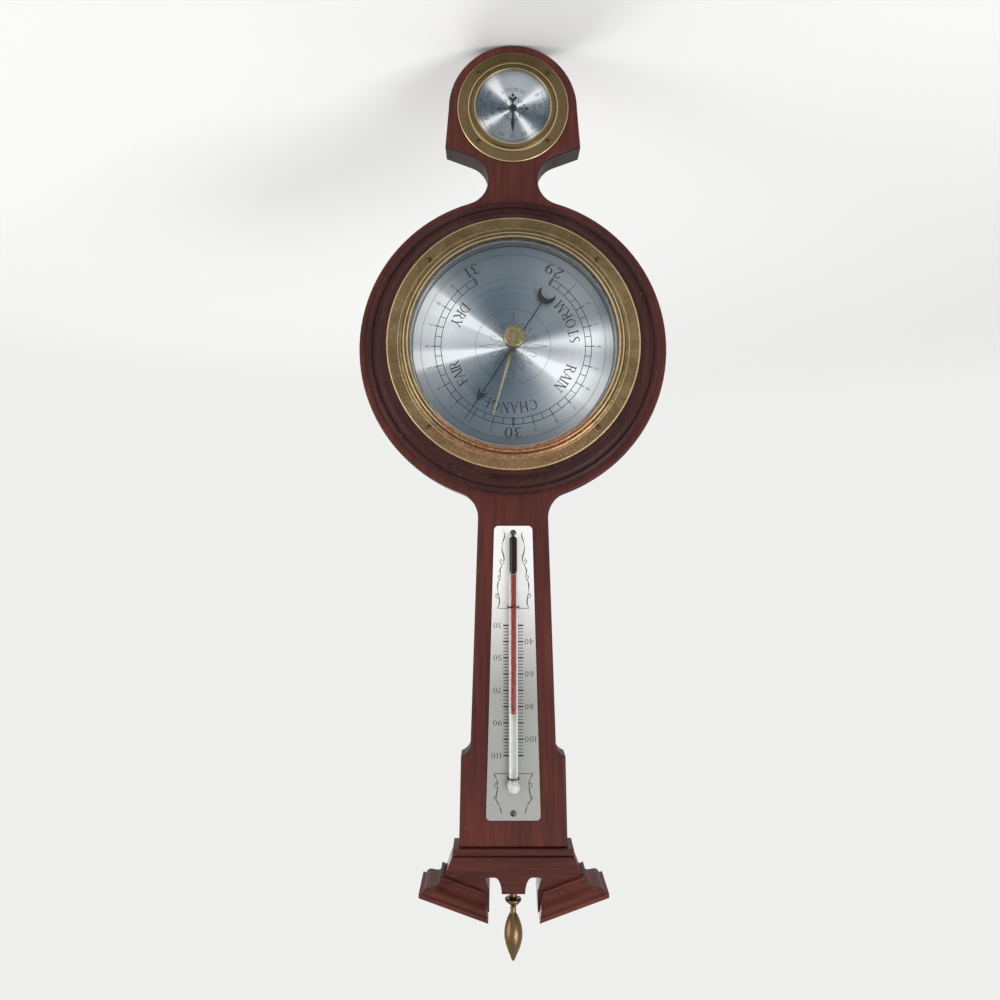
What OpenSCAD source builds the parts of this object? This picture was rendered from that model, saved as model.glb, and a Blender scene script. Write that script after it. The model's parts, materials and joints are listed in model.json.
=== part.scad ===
// Banjo wall barometer with a thermometer in its trunk and a hygrometer in its lower head.
// The modules draw with X right, Y up and Z towards the viewer, from the point where the
// barometer's axis meets the back of the board. upright() then stands the part up, Z up,
// and moves its origin to the hanging hole in the back.

/* [Board] */
// Thickness of the case board
board_t = 19; // [17:0.5:23]
// Board left bare around the turned ring
body_margin = 4.5; // [3:0.5:8]
// Half width of the trunk where it leaves the round body
trunk_half = 20.2; // [18:0.2:23]
// Radius of the hollow between the round body and the trunk
trunk_fillet = 15; // [11:0.5:20]
// Half width of the trunk just below its step
waist_half = 24.3; // [23:0.1:26]
// Radius of the hollow under the step
step_r = 8; // [6.5:0.5:10]
// Half width of the trunk just above its step
step_half = 29.8; // [28.5:0.1:31]
// Half width of the trunk at its top end
top_half = 30.8; // [29:0.1:32]
// Distance from the hollow of the step up to the trunk's top end
step_below = 58.5; // [50:0.5:65]
// Board left bare above the thermometer plate
top_margin = 15.6; // [12:0.2:20]
// Half width of the neck between body and head
neck_half = 14.5; // [12:0.5:17]
// Radius of the hollows beside the neck
neck_r = 14.5; // [13:0.5:16]
// Distance from the barometer's axis down to the hygrometer's axis
head_drop = 141.7; // [139:0.1:146]
// Board left bare around the hygrometer's bezel
head_margin = 5.1; // [3:0.1:6.5]
// Half width of the head at its shoulder corners
shoulder_half = 39.5; // [38.5:0.1:42]
// Height of the shoulder corners above the hygrometer's axis
shoulder_rise = 23; // [20:0.5:25]

/* [Turned ring] */
// Height of the ring above the board
ring_h = 14; // [12:0.5:17]
// Width of the ring's moulding outside the bezel
ring_w = 12.8; // [11:0.2:15]

/* [Barometer case] */
// Radius of the opening in the bezel
lip_r = 58.8; // [57:0.2:62]
// Width of the bezel from its opening to its outer edge
bezel_w = 12.9; // [12:0.1:15]
// Thickness of the bezel's flat flange
flange_t = 1.1; // [0.8:0.1:1.6]
// Height of the bezel's lip above its seat
lip_rise = 5.5; // [4.8:0.1:7]
// Thickness of the glass
glass_t = 2; // [1.5:0.1:2.4]
// Rise of the domed glass
dome_rise = 8; // [6:0.2:10]
// Height of the dial above the board's face
dial_rise = 6; // [5:0.2:7]
// Thickness of the dial plates
dial_t = 0.8; // [0.5:0.1:1.2]
// Sheet thickness of the cans behind the dials
can_sheet = 0.6; // [0.4:0.1:1]
// Depth of the cans' backs inside the board
can_recess = 4; // [3.5:0.1:4.5]

/* [Barometer hands] */
// Length of the pressure hand's pointing end
hand_len = 52.4; // [46:0.2:55]
// Length of the pressure hand's tail
tail_len = 34.6; // [28:0.2:40]
// Angle of the pressure hand, clockwise from the top
hand_at = 33.3; // [-150:0.1:150]
// Thickness of the hands
hand_t = 0.4; // [0.3:0.05:0.6]
// Length of the setting hand
set_len = 42.5; // [36:0.5:52]
// Angle of the setting hand, clockwise from the top
set_at = 15.8; // [-180:0.1:180]
// Radius of the setting knob
knob_r = 6.1; // [5:0.1:8]
// Height of the setting knob above the glass
knob_h = 9.6; // [7:0.1:12]

/* [Movement] */
// Tooth module of the sector and pinion
tooth_m = 0.5; // [0.45:0.05:0.55]
// Thickness of the movement plate
plate_t = 1.6; // [1.2:0.1:1.8]
// Thickness of the bridge over the gears
bridge_t = 1.2; // [0.8:0.1:1.6]
// Height of the sector above the movement plate
gear_rise = 9.8; // [9.4:0.1:10]
// Radius of the aneroid capsule
capsule_r = 17; // [14:0.5:18]
// Height of the aneroid capsule
capsule_h = 6.4; // [5:0.1:7]
// Width of the main spring
spring_w = 14; // [10:0.5:16]
// Radius of the pin on the sector's tail
tail_r = 4; // [3.5:0.1:4.5]
// Length of the rocker's arm that drives the sector
rocker_arm = 8; // [7.6:0.1:8.2]
// Length of the rocker's crank
crank_r = 3; // [2.6:0.1:3.4]

/* [Hygrometer] */
// Radius of the opening in the hygrometer's bezel
damp_lip_r = 21.8; // [20:0.1:23]
// Width of the hygrometer's bezel
damp_bezel_w = 10.7; // [10:0.1:12]
// Height of the hygrometer's lip above the board
damp_lip_rise = 2.6; // [2.4:0.1:3.2]
// Thickness of the hygrometer's glass
damp_glass_t = 1.2; // [1:0.1:1.4]
// Length of the humidity hand
damp_hand_len = 14.5; // [12:0.1:18]
// Turns of the humidity coil
coil_turns = 4; // [3:1:5]
// Width of the humidity coil's strip
coil_w = 4; // [3:0.5:5]

/* [Thermometer] */
// Bare plate below the glass tube
scale_foot = 5.8; // [5:0.1:9]
// Bare plate above the glass tube
scale_head = 17.2; // [13:0.1:22]
// Half width of the plate at the bulb end
scale_half_low = 10.9; // [9:0.1:12]
// Half width of the plate at the top end
scale_half_top = 15.5; // [13:0.1:17]
// Thickness of the plate
scale_t = 0.9; // [0.6:0.1:1.4]
// Bare board between the round body and the plate
scale_gap = 13.6; // [10:0.2:18]
// Radius of the glass tube
tube_r = 2.65; // [2.5:0.05:3]
// Radius of the tube's bulb
bulb_r = 2.15; // [1.9:0.05:2.4]
// Length of the glass tube
tube_len = 143.6; // [138:0.2:150]
// Bore radius of the tube, as wide as it looks through the glass
bore_r = 1.25; // [1:0.05:1.4]
// Length of the bulb's spirit
bulb_len = 19.5; // [16:0.5:22]
// Height of the spirit's surface above the bulb
spirit_rise = 78.6; // [60:0.2:95]

/* [Pediment] */
// Height of the bed strip
strip_h = 4.15; // [3:0.05:6]
// Half width of the bed strip
strip_half = 34.2; // [33:0.1:36]
// Stand of the bed strip in front of the board
strip_proud = 2; // [1:0.1:3]
// Stand of the pediment board in front of the case board
frieze_proud = 3.5; // [2.5:0.1:5]
// Half width of the pediment board under the cornice
frieze_half = 38.7; // [37.5:0.1:40]
// Height of the pediment board's flared side
flare_h = 10.4; // [9:0.1:12]
// Rake of the cornices in degrees
rake = 20; // [16:0.5:24]
// Height of the cornice moulding, square to its rake
crown_h = 11.2; // [10:0.1:12.4]
// Stand of the cornice in front of the pediment board
crown_out = 13.5; // [12:0.1:15]
// Distance from the middle to the foot of the cornice's inner end
crown_inner = 16.6; // [16:0.1:18]
// Half width of the plinth under the finial
plinth_half = 6.6; // [6:0.1:7.2]
// Height of the plinth's top above the bed strip
plinth_h = 20.3; // [18:0.1:22]
// Height of the notches' floors above the bed strip
notch_floor = 11.2; // [10:0.1:12.5]

/* [Finial] */
// Length of the finial above the plinth
finial_len = 42.3; // [38:0.1:46]
// Largest radius of the finial's drop
finial_r = 5.45; // [4.5:0.05:6.5]
// Radius of the finial's collar
collar_r = 4.8; // [4:0.1:5.5]

/* [Hanger] */
// Distance of the hanging hole below the trunk's top end
hang_below = 30; // [26:0.5:40]
// Radius of the hanging hole
keyhole_r = 4.5; // [4:0.1:5.5]
// Radius of the hanging slot
keyslot_r = 2.25; // [1.5:0.05:2.5]
// Thickness of the hanger plate
hanger_t = 1.2; // [0.8:0.1:1.6]

/* [Fits] */
// Radial clearance of a turning shaft in its bore
run_gap = 0.05; // [0.02:0.01:0.1]
// Radial clearance of a piece fixed in or on another
seat_gap = 0.03; // [0.02:0.01:0.06]
// Clearance between pieces that pass each other
pass_gap = 0.3; // [0.25:0.05:0.4]
// Backlash of the gear teeth
backlash = 0.1; // [0.06:0.02:0.14]

/* [Hidden] */
$fn = 96;

// Heights above the back of the board
ring_top = board_t + ring_h;
dial_z = board_t + dial_rise;
floor_z = can_recess + can_sheet;
plate_z = floor_z + plate_t;
gear_z = plate_z + gear_rise;
sector_t = 1;
bridge_z = gear_z + sector_t + 2;
lever_t = 0.8;
lever_z = bridge_z - lever_t - 0.7;
leaf_t = 0.6;
leaf_z = lever_z - 2 * pass_gap - leaf_t;
hand_z = dial_z + 2.4;
arbor_top = hand_z + hand_t + 0.8;
set_z = arbor_top + 2.4;
glass_z = ring_top + can_sheet;

// Barometer radii
can_r = lip_r - 0.3;
can_in = can_r - can_sheet;
body_hole = can_r + 0.5;
rebate_r = lip_r + 2.5;
bezel_r = lip_r + bezel_w;
ring_r = bezel_r + ring_w;
body_r = ring_r + body_margin;
bezel_screw_r = bezel_r - 4.6;
dome_r = lip_r - 0.5;
dome_curve = (dome_r * dome_r + dome_rise * dome_rise) / (2 * dome_rise);
dome_top = glass_z + glass_t + dome_rise;
set_shaft_r = 2;

// Hygrometer radii and heights
damp_can_r = damp_lip_r + 1;
damp_hole = damp_can_r + 0.4;
damp_rebate = damp_can_r + 1.5;
damp_bezel_r = damp_lip_r + damp_bezel_w;
damp_screw_r = damp_bezel_r - 3.9;
damp_dial_z = board_t - 1;
damp_glass_z = board_t + can_sheet;
damp_hand_z = damp_dial_z + 0.5;
head_r = damp_bezel_r + head_margin;
head_at = [0, -head_drop];

// Board outline
scale_y = body_r + scale_gap;
scale_len = scale_foot + tube_len + scale_head;
trunk_top = scale_y + scale_len + top_margin;
step_y = trunk_top - step_below;
fillet_x = trunk_half + trunk_fillet;
fillet_at = [fillet_x, sqrt(pow(body_r + trunk_fillet, 2) - pow(fillet_x, 2))];
neck_x = neck_half + neck_r;
neck_at = [neck_x, -sqrt(pow(body_r + neck_r, 2) - pow(neck_x, 2))];
shoulder_at = [shoulder_half, shoulder_rise - head_drop];
step_at = [waist_half + step_r, step_y];

// Movement places
pinion_teeth = 12;
sector_teeth = 144;
pinion_r = tooth_m * pinion_teeth / 2;
sector_r = tooth_m * sector_teeth / 2;
gear_gap = pinion_r + sector_r;
rocker_x = 12;
sector_at = [rocker_x, -sqrt(gear_gap * gear_gap - rocker_x * rocker_x)];
sector_turn = atan2(-sector_at.y, -sector_at.x);
tail_at = sector_at + [0, tail_r];
rocker_z = gear_z + sector_t / 2 - rocker_arm;
bend_r = (leaf_z + leaf_t - plate_z) / 2;
bend_gap = 3.4;
spring_margin = 8.15;
capsule_rise = 18.5;
capsule_at = [capsule_r + bend_gap + bend_r + spring_margin - can_in, capsule_rise];
capsule_z = plate_z + leaf_t;
link_at = [rocker_x - crank_r, capsule_at.y];
plate_r = can_in - 3.9;
pillar_ring = plate_r - 4;
pillar_angles = [75, 200, 315];
arbor_r = 1.2;
pivot_r = 1;
bridge_reach = 7.5;
bridge_pillar_r = 2;
movement_screw_r = 1;

// Thermometer places
screw_inset = 4;
tube_y = scale_y + scale_foot;
tube_z = board_t + scale_t + tube_r + 0.1;
bulb_y = tube_y + 2.4;
column_y = bulb_y + bulb_len;
surface_y = column_y + spirit_rise;
cap_len = 1.2;
low_staple = 40.3;
high_staple = 7;
staple_ys = [tube_y + low_staple, tube_y + tube_len - high_staple];
wire_r = 0.4;
scale_screw_ys = [scale_y + screw_inset, scale_y + scale_len - screw_inset];

// Pediment places
frieze_y = trunk_top + strip_h;
frieze_z = board_t + frieze_proud;
crown_y = frieze_y + flare_h;
plinth_y = frieze_y + plinth_h;
notch_y = frieze_y + notch_floor;

// Hanger places
hang_y = trunk_top - hang_below;
hang_slide = 9;
hanger_half = 12;
hanger_low = 19;
hanger_high = 23;
hanger_screw_ys = [-14, 18.5];

wood = "#5a2b25";
dark_wood = "#4a2423";
brass = "#a8884a";
silver = "#c9ced1";
steel = "#8f9496";
spirit_red = "#c8281e";
black = "#1c1c1e";

// Shared functions and shapes

function polar(r, a) = r * [cos(a), sin(a)];
function arc(c, r, a0, a1, n) = [for (i = [0:n]) c + polar(r, a0 + (a1 - a0) * i / n)];
function inner_arc(c, r, a0, a1, n) = [for (i = [1:n - 1]) c + polar(r, a0 + (a1 - a0) * i / n)];
function mirrored(p) = [for (i = [len(p) - 1:-1:0]) [-p[i].x, p[i].y]];
function unit(v) = v / norm(v);
function right_of(a, b) = let (u = unit(b - a)) [u.y, -u.x];

// Moves a clockwise outline inwards by d
function inset(p, d) = let (n = len(p)) [for (i = [0:n - 1])
    let (m = right_of(p[(i + n - 1) % n], p[i]), k = right_of(p[i], p[(i + 1) % n]))
    p[i] + d * (m + k) / (1 + m * k)];

// Rounds every corner of a convex clockwise outline
function rounded(p, r, n) = let (q = inset(p, r), c = len(p)) [for (i = [0:c - 1])
    let (m = right_of(p[(i + c - 1) % c], p[i]), k = right_of(p[i], p[(i + 1) % c]))
    for (j = [0:n]) q[i] - r * unit(m + (k - m) * j / n)];

// Stands the part up and puts its origin at the hanging hole
module upright() translate([0, 0, -hang_y]) rotate([90, 0, 0]) children();

// Turns a piece drawn along Z to lie along Y
module along_y() rotate([-90, 0, 0]) children();

module at(p, z = 0) translate([p.x, p.y, z]) children();

module at_angles(angles, r) for (a = angles) at(polar(r, a)) children();

module hole(p, z, h, r) at(p, z) cylinder(h = h, r = r);

// A round-headed slotted screw: its head's seat is at z = 0
module screw(head_r, head_h, shank_r, shank_l) difference() {
    union() {
        rotate_extrude() polygon(concat([[0, 0], [head_r, 0]],
            [for (i = [1:5]) [head_r * cos(15 * i), head_h * sin(15 * i)]], [[0, head_h]]));
        translate([0, 0, -shank_l]) cylinder(h = shank_l, r = shank_r);
    }
    translate([-head_r, -0.25, head_h * 0.5]) cube([2 * head_r, 0.5, head_h]);
}

// A pressed can with a turned-out flange at its front
module can(r, flange_r, front) rotate_extrude() polygon([[0, can_recess], [r, can_recess], [r, front],
    [flange_r, front], [flange_r, front + can_sheet], [r - can_sheet, front + can_sheet],
    [r - can_sheet, floor_z], [0, floor_z]]);

// A flat spiral strip from radius r0 to r1
module spiral(r0, r1, turns, thick, h) {
    steps = turns * 24;
    path = [for (i = [0:steps]) let (k = i / steps) [r0 + (r1 - r0) * k, 360 * turns * k]];
    linear_extrude(h) polygon(concat([for (q = path) polar(q[0] - thick / 2, q[1])],
        [for (i = [steps:-1:0]) polar(path[i][0] + thick / 2, path[i][1])]));
}

// Involute teeth: the half angle of a tooth at radius r, and the outline of teeth first to last
pressure_angle = 25;
function involute(phi) = tan(phi) * 180 / PI - phi;
function half_tooth(r, pitch_r, teeth) = let (base = pitch_r * cos(pressure_angle))
    90 / teeth + involute(pressure_angle) - involute(r > base ? acos(base / r) : 0)
    - backlash / pitch_r * 45 / PI;
function teeth_outline(pitch_r, teeth, first, last) =
    let (root = pitch_r - 1.25 * tooth_m, rise = 2.25 * tooth_m)
    [for (i = [first:last]) for (side = [-1, 1]) for (j = [0:5])
        let (r = root + rise * (side < 0 ? j : 5 - j) / 5)
        polar(r, 360 * i / teeth + side * half_tooth(r, pitch_r, teeth))];

// Case

trunk_side = concat([[top_half, trunk_top]],
    arc(step_at, step_r, acos((step_half - step_at.x) / step_r), 180, 6),
    arc(fillet_at, trunk_fillet, 180, 180 + atan2(fillet_at.y, fillet_at.x), 8));
body_side = inner_arc([0, 0], body_r, atan2(fillet_at.y, fillet_at.x), atan2(neck_at.y, neck_at.x), 44);
shoulder_to_neck = neck_at - shoulder_at;
neck_end = atan2(shoulder_to_neck.y, shoulder_to_neck.x) + asin(neck_r / norm(shoulder_to_neck)) + 90;
neck_side = arc(neck_at, neck_r, 180 + atan2(neck_at.y, neck_at.x), neck_end, 14);
head_steps = 15;
head_side = [for (i = [0:head_steps - 1]) head_at + polar(head_r, -90 * i / head_steps)];
board_side = concat(trunk_side, body_side, neck_side, [shoulder_at], head_side);
board_outline = concat(board_side, [head_at - [0, head_r]], mirrored(board_side));

module case_board() color(wood) upright() difference() {
    linear_extrude(board_t) polygon(board_outline);
    hole([0, 0], -1, board_t + 2, body_hole);
    hole(head_at, -1, board_t + 2, damp_hole);
    at(head_at) at_angles([45:90:315], damp_screw_r)
        translate([0, 0, board_t - damp_screw_l - 1]) cylinder(h = damp_screw_l + 2, r = damp_shank_r + seat_gap);
    for (y = scale_screw_ys)
        hole([0, y], board_t - scale_screw_l - 1, scale_screw_l + 2, scale_shank_r + seat_gap);
    for (y = staple_ys, side = [-1, 1])
        hole([side * staple_r, y], board_t - staple_leg - 0.5, staple_leg + 1, wire_r + seat_gap);
    translate([0, hang_y, -1]) linear_extrude(hanger_t + 1) polygon(hanger_outline(0.2));
    hanger_pocket();
    for (y = hanger_screw_ys)
        hole([0, hang_y + y], -1, hanger_t + hanger_screw_l + 1.5, hanger_shank_r + seat_gap);
}

// Pocket in the wood for the head of the wall screw
pocket_depth = 8;
module hanger_pocket() translate([0, hang_y, -1]) linear_extrude(hanger_t + pocket_depth + 1) {
    circle(r = keyhole_r + 2);
    translate([0, hang_slide]) circle(r = keyhole_r + 2);
    translate([-keyhole_r - 2, 0]) square([2 * keyhole_r + 4, hang_slide]);
}

// Turned ring: seat for the bezel, fillet, cove, groove and bead
cove_h = 7.6;
bead_h = 4.4;
bead_w = 3.6;
module dial_ring() color(dark_wood) upright() difference() {
    translate([0, 0, board_t]) rotate_extrude($fn = 180) polygon(concat(
        [[body_hole, 0], [body_hole, ring_h], [bezel_r + 2.4, ring_h], [bezel_r + 2.4, ring_h - 1.1]],
        [for (i = [0:10]) let (a = 9 * i, w = ring_w - bead_w - 3.6)
            [bezel_r + 3 + w * (1 - cos(a)), ring_h - 1.1 - cove_h * sin(a)]],
        [[ring_r - bead_w - 0.6, bead_h - 0.6], [ring_r - bead_w, bead_h - 0.6]],
        [for (i = [0:6]) let (a = 90 - 15 * i)
            [ring_r - bead_w + 0.2 + (bead_w - 0.2) * cos(a), bead_h - 2.6 + 2.6 * sin(a)]],
        [[ring_r, 0]]));
    at_angles([45:90:315], bezel_screw_r)
        translate([0, 0, ring_top - bezel_screw_l - 1]) cylinder(h = bezel_screw_l + 2, r = bezel_shank_r + seat_gap);
}

// Pediment

module bed_strip() color(wood) upright() translate([0, trunk_top, 0]) rotate([-90, 0, 0]) mirror([0, 1, 0])
    linear_extrude(strip_h) polygon([[-strip_half, 0], [strip_half, 0],
        [strip_half, board_t + strip_proud - 0.8], [strip_half - 0.8, board_t + strip_proud],
        [0.8 - strip_half, board_t + strip_proud], [-strip_half, board_t + strip_proud - 0.8]]);

// Height of the cornice's foot line and of the pediment board's top edge at x
function crown_foot(x) = crown_y + (frieze_half - x) * tan(rake);
function frieze_top(x) = crown_foot(x) + (crown_h - 1) / cos(rake);

notch_in = plinth_half + 4;
notch_out = notch_in + 5.1;
pediment_side = concat(
    [for (i = [0:8]) [notch_in - 4 * cos(11.25 * i), plinth_y - (plinth_y - notch_y) * sin(11.25 * i)]],
    arc([notch_out - 1.1, notch_y + 1.1], 1.1, -90, 0, 4),
    [[crown_inner - 3.2, crown_foot(crown_inner)], [crown_inner - 3, frieze_top(crown_inner - 3)],
     [frieze_half, frieze_top(frieze_half)], [frieze_half, crown_y],
     [strip_half + 0.4, frieze_y]]);

module pediment_board() color(wood) upright() difference() {
    linear_extrude(frieze_z) polygon(concat(pediment_side, mirrored(pediment_side)));
    translate([0, plinth_y - finial_stem_l - 0.5, board_t / 2]) along_y()
        cylinder(h = finial_stem_l + 1, r = finial_stem_r + seat_gap);
}

// Cornice profile: stand in front of the pediment board, height square to the rake
quirk = 0.6;
fillet_out = 2.5;
fillet_h = 1.5;
cap_h = 2.3;
cyma_h = crown_h - fillet_h - cap_h - quirk;
cyma_out = crown_out - 1.4 - fillet_out;
crown_profile = concat([[0, 0], [fillet_out, 0], [fillet_out, fillet_h], [fillet_out - quirk, fillet_h]],
    [for (i = [0:12]) let (k = i / 12)
        [fillet_out - 0.3 + cyma_out * (k - sin(360 * k) / 14), fillet_h + quirk + cyma_h * (k + sin(360 * k) / 9)]],
    [[crown_out, crown_h - cap_h], [crown_out, crown_h], [0, crown_h]]);

// Prism beyond the mitre: the raked side for 1, the return's side for -1
module mitre(side) translate([frieze_half, crown_y + 60, frieze_z]) rotate([90, 0, 0])
    linear_extrude(160) polygon(side > 0 ? [[-60, -60], [60, 60], [60, -60]] : [[-60, -60], [60, 60], [-60, 60]]);

inner_lean = 11.5;
module raked_cornice() difference() {
    translate([frieze_half, crown_y, frieze_z]) rotate([0, 0, -rake]) translate([crown_out * 2, 0, 0])
        rotate([0, -90, 0]) linear_extrude(frieze_half + crown_out * 3) polygon(crown_profile);
    mitre(1);
    translate([crown_inner, crown_foot(crown_inner), frieze_z - 1]) rotate([0, 0, inner_lean])
        translate([-80, -60, 0]) cube([80, 160, crown_out + 2]);
}

module cornice_return() difference() {
    linear_extrude(frieze_z + crown_out) polygon([for (p = crown_profile)
        [frieze_half + p.x, crown_y + p.y / cos(rake) - p.x * tan(rake)]]);
    mitre(-1);
}

module cornice_left() color(wood) upright() mirror([1, 0, 0]) raked_cornice();
module cornice_right() color(wood) upright() raked_cornice();
module cornice_return_left() color(wood) upright() mirror([1, 0, 0]) cornice_return();
module cornice_return_right() color(wood) upright() cornice_return();

finial_stem_l = 8;
finial_stem_r = 1.6;
finial_neck_r = 1.7;
collar_y = 6.4;
collar_h = 5.4;
drop_y = collar_y + collar_h + 0.4;
module finial() color(brass) upright() translate([0, plinth_y, board_t / 2]) along_y()
    rotate_extrude() polygon(concat(
        [[0, -finial_stem_l], [finial_stem_r, -finial_stem_l], [finial_stem_r, 0], [2.4, 0], [2, collar_y],
         [collar_r - 0.6, collar_y], [collar_r, collar_y + 0.5]],
        [for (i = [0:7]) let (k = i / 8) [finial_neck_r + (collar_r - finial_neck_r) * (1 + cos(180 * k)) / 2,
            collar_y + 1.2 + (collar_h - 1.2) * k]],
        [[finial_neck_r, drop_y]],
        [for (i = [2:22]) let (k = i / 24) [max(finial_neck_r, finial_r * pow(sin(180 * pow(k, 0.95)), 0.9)),
            drop_y + (finial_len - drop_y) * k]],
        [[0.9, finial_len - 0.7], [0, finial_len]]));

// Barometer case and face

module barometer_can() color(steel) upright() difference() {
    can(can_r, rebate_r - 0.2, ring_top);
    hole(capsule_at, 0, floor_z + 1, 1.9);
    at_angles(pillar_angles, pillar_ring) cylinder(h = floor_z + 1, r = movement_screw_r + seat_gap);
}

bezel_screw_l = 6;
bezel_shank_r = 0.9;
bezel_head_r = 1.5;
module barometer_bezel() color(brass) upright() difference() {
    translate([0, 0, ring_top]) rotate_extrude($fn = 180) polygon(concat(
        [[rebate_r, 0], [bezel_r, 0], [bezel_r, flange_t - 0.4], [bezel_r - 0.4, flange_t],
         [rebate_r + 4, flange_t], [rebate_r + 3.9, flange_t + 0.5]],
        [for (i = [0:7]) let (a = 90 * i / 7) [rebate_r + 3.5 - 2.6 * sin(a),
            flange_t + 0.5 + (lip_rise - flange_t - 1.6) * (1 - cos(a))]],
        arc([rebate_r + 0.3, lip_rise - 0.6], 0.6, 0, 90, 4),
        [[rebate_r - 0.3, lip_rise], [rebate_r - 0.45, lip_rise - 0.35], [rebate_r - 0.75, lip_rise - 0.35],
         [rebate_r - 0.9, lip_rise]],
        [[lip_r + 0.4, lip_rise], [lip_r, lip_rise - 0.4], [lip_r, can_sheet + glass_t], [rebate_r, can_sheet + glass_t]]));
    at_angles([45:90:315], bezel_screw_r) translate([0, 0, ring_top - 1]) cylinder(h = 5, r = bezel_shank_r + seat_gap);
}

module barometer_bezel_screws() color(brass) upright() at_angles([45:90:315], bezel_screw_r)
    translate([0, 0, ring_top + flange_t]) screw(bezel_head_r, 0.8, bezel_shank_r, bezel_screw_l);

function dome(r) = sqrt(dome_curve * dome_curve - r * r) - dome_curve + dome_rise;
module barometer_glass() color("#dfeef2", 0.35) upright() translate([0, 0, glass_z]) rotate_extrude($fn = 180)
    let (hole_r = set_shaft_r + run_gap, radii = [for (i = [0:16]) hole_r + (dome_r - hole_r) * i / 16])
    polygon(concat([for (r = radii) [r, dome(r)]], [[rebate_r - 0.2, 0], [rebate_r - 0.2, glass_t]],
        [for (i = [16:-1:0]) [radii[i], dome(radii[i]) + glass_t]]));

module barometer_dial() color(silver) upright() difference() {
    translate([0, 0, dial_z - dial_t]) cylinder(h = dial_t, r = can_in - 0.4, $fn = 180);
    hole([0, 0], dial_z - dial_t - 1, dial_t + 2, arbor_r + 1.3);
}

module dial_pillars() color(brass) upright() at_angles(pillar_angles, pillar_ring) difference() {
    translate([0, 0, plate_z]) cylinder(h = dial_z - dial_t - plate_z, r = 2.5);
    translate([0, 0, plate_z - 1]) cylinder(h = 5.5, r = movement_screw_r + seat_gap);
}

// Hands and knob

hub_r = 2.4;
hub_t = hand_t + 0.4;
moon_r = 5.2;
moon_cut_r = 4.3;
moon_shift = 2.4;
// The crescent's tip lies where its two arcs cross
moon_tip_y = (moon_cut_r * moon_cut_r - moon_r * moon_r - moon_shift * moon_shift) / (2 * moon_shift);
moon_tip_x = sqrt(moon_r * moon_r - moon_tip_y * moon_tip_y);
point_side = [[0.12, hand_len], [0.35, hand_len * 0.72], [3.2, hand_len * 0.585], [0.35, hand_len * 0.63], [0.35, 0]];
tail_side = concat([[0.35, 0]],
    arc([0, -tail_len], moon_r, acos(0.35 / moon_r), atan2(moon_tip_y, moon_tip_x), 12),
    inner_arc([0, -tail_len - moon_shift], moon_cut_r, atan2(moon_tip_y + moon_shift, moon_tip_x), 90, 9));

module pressure_hand() color(black) upright() rotate([0, 0, -hand_at]) difference() {
    union() {
        hole([0, 0], hand_z - 0.2, hub_t, hub_r);
        for (side = [point_side, tail_side]) translate([0, 0, hand_z])
            linear_extrude(hand_t) polygon(concat(side, mirrored(side)));
    }
    hole([0, 0], hand_z - 1, hand_t + 2, arbor_r - 0.3 + seat_gap);
}

collet_r = 1.6;
collet_z = plate_z + 4.6;
module hand_arbor() color(steel) upright() rotate([0, 0, -hand_at]) {
    hole([0, 0], floor_z + 0.3, plate_t + 0.2, pivot_r);
    hole([0, 0], plate_z + 0.5, bridge_z - plate_z - 0.8, arbor_r);
    hole([0, 0], collet_z, 2, collet_r);
    hole([0, 0], bridge_z - 0.3, arbor_top - bridge_z + 0.3, arbor_r - 0.3);
    hole([0, 0], hand_z - 1.1, 0.9, arbor_r);
}

module hand_pinion() color(brass) upright() translate([0, 0, gear_z - 0.5]) difference() {
    rotate([0, 0, atan2(sector_at.y, sector_at.x) + 180 / pinion_teeth]) linear_extrude(sector_t + 1)
        polygon(teeth_outline(pinion_r, pinion_teeth, 0, pinion_teeth - 1));
    translate([0, 0, -1]) cylinder(h = sector_t + 3, r = arbor_r + seat_gap);
}

module setting_knob() color(brass) upright() union() {
    translate([0, 0, dome_top + pass_gap]) rotate_extrude() polygon([[0, 0], [knob_r * 0.62, 0], [knob_r * 0.62, 1.2],
        [knob_r * 0.5, 1.8], [knob_r * 0.5, 2.6], [knob_r - 0.8, 3.2], [knob_r, 4], [knob_r, knob_h - 1],
        [knob_r - 0.9, knob_h - 0.2], [knob_r * 0.5, knob_h], [0, knob_h]]);
    translate([0, 0, set_z]) cylinder(h = dome_top + pass_gap - set_z, r = set_shaft_r);
}

module setting_hand() color(brass) upright() rotate([0, 0, -set_at]) difference() {
    translate([0, 0, set_z]) linear_extrude(hand_t) {
        circle(r = set_shaft_r + 1.2);
        polygon([[-1, 0], [1, 0], [0.35, set_len - 1.5], [0, set_len], [-0.35, set_len - 1.5]]);
        translate([-0.8, -9]) square([1.6, 9]);
    }
    hole([0, 0], set_z - 1, hand_t + 2, set_shaft_r + seat_gap);
}

// Movement

module movement_plate() color(brass) upright() difference() {
    translate([0, 0, floor_z]) cylinder(h = plate_t, r = plate_r);
    hole([0, 0], floor_z - 1, plate_t + 2, pivot_r + run_gap);
    hole(sector_at, floor_z - 1, plate_t + 2, pivot_r + run_gap);
    hole(capsule_at, floor_z - 1, plate_t + 2, adjust_r + run_gap);
    at_angles(pillar_angles, pillar_ring) hole([0, 0], floor_z - 1, plate_t + 2, movement_screw_r + seat_gap);
}

module movement_screws() color(steel) upright() at_angles(pillar_angles, pillar_ring)
    translate([0, 0, can_recess]) mirror([0, 0, 1]) screw(2.2, 1.1, movement_screw_r, can_sheet + plate_t + 4);

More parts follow.
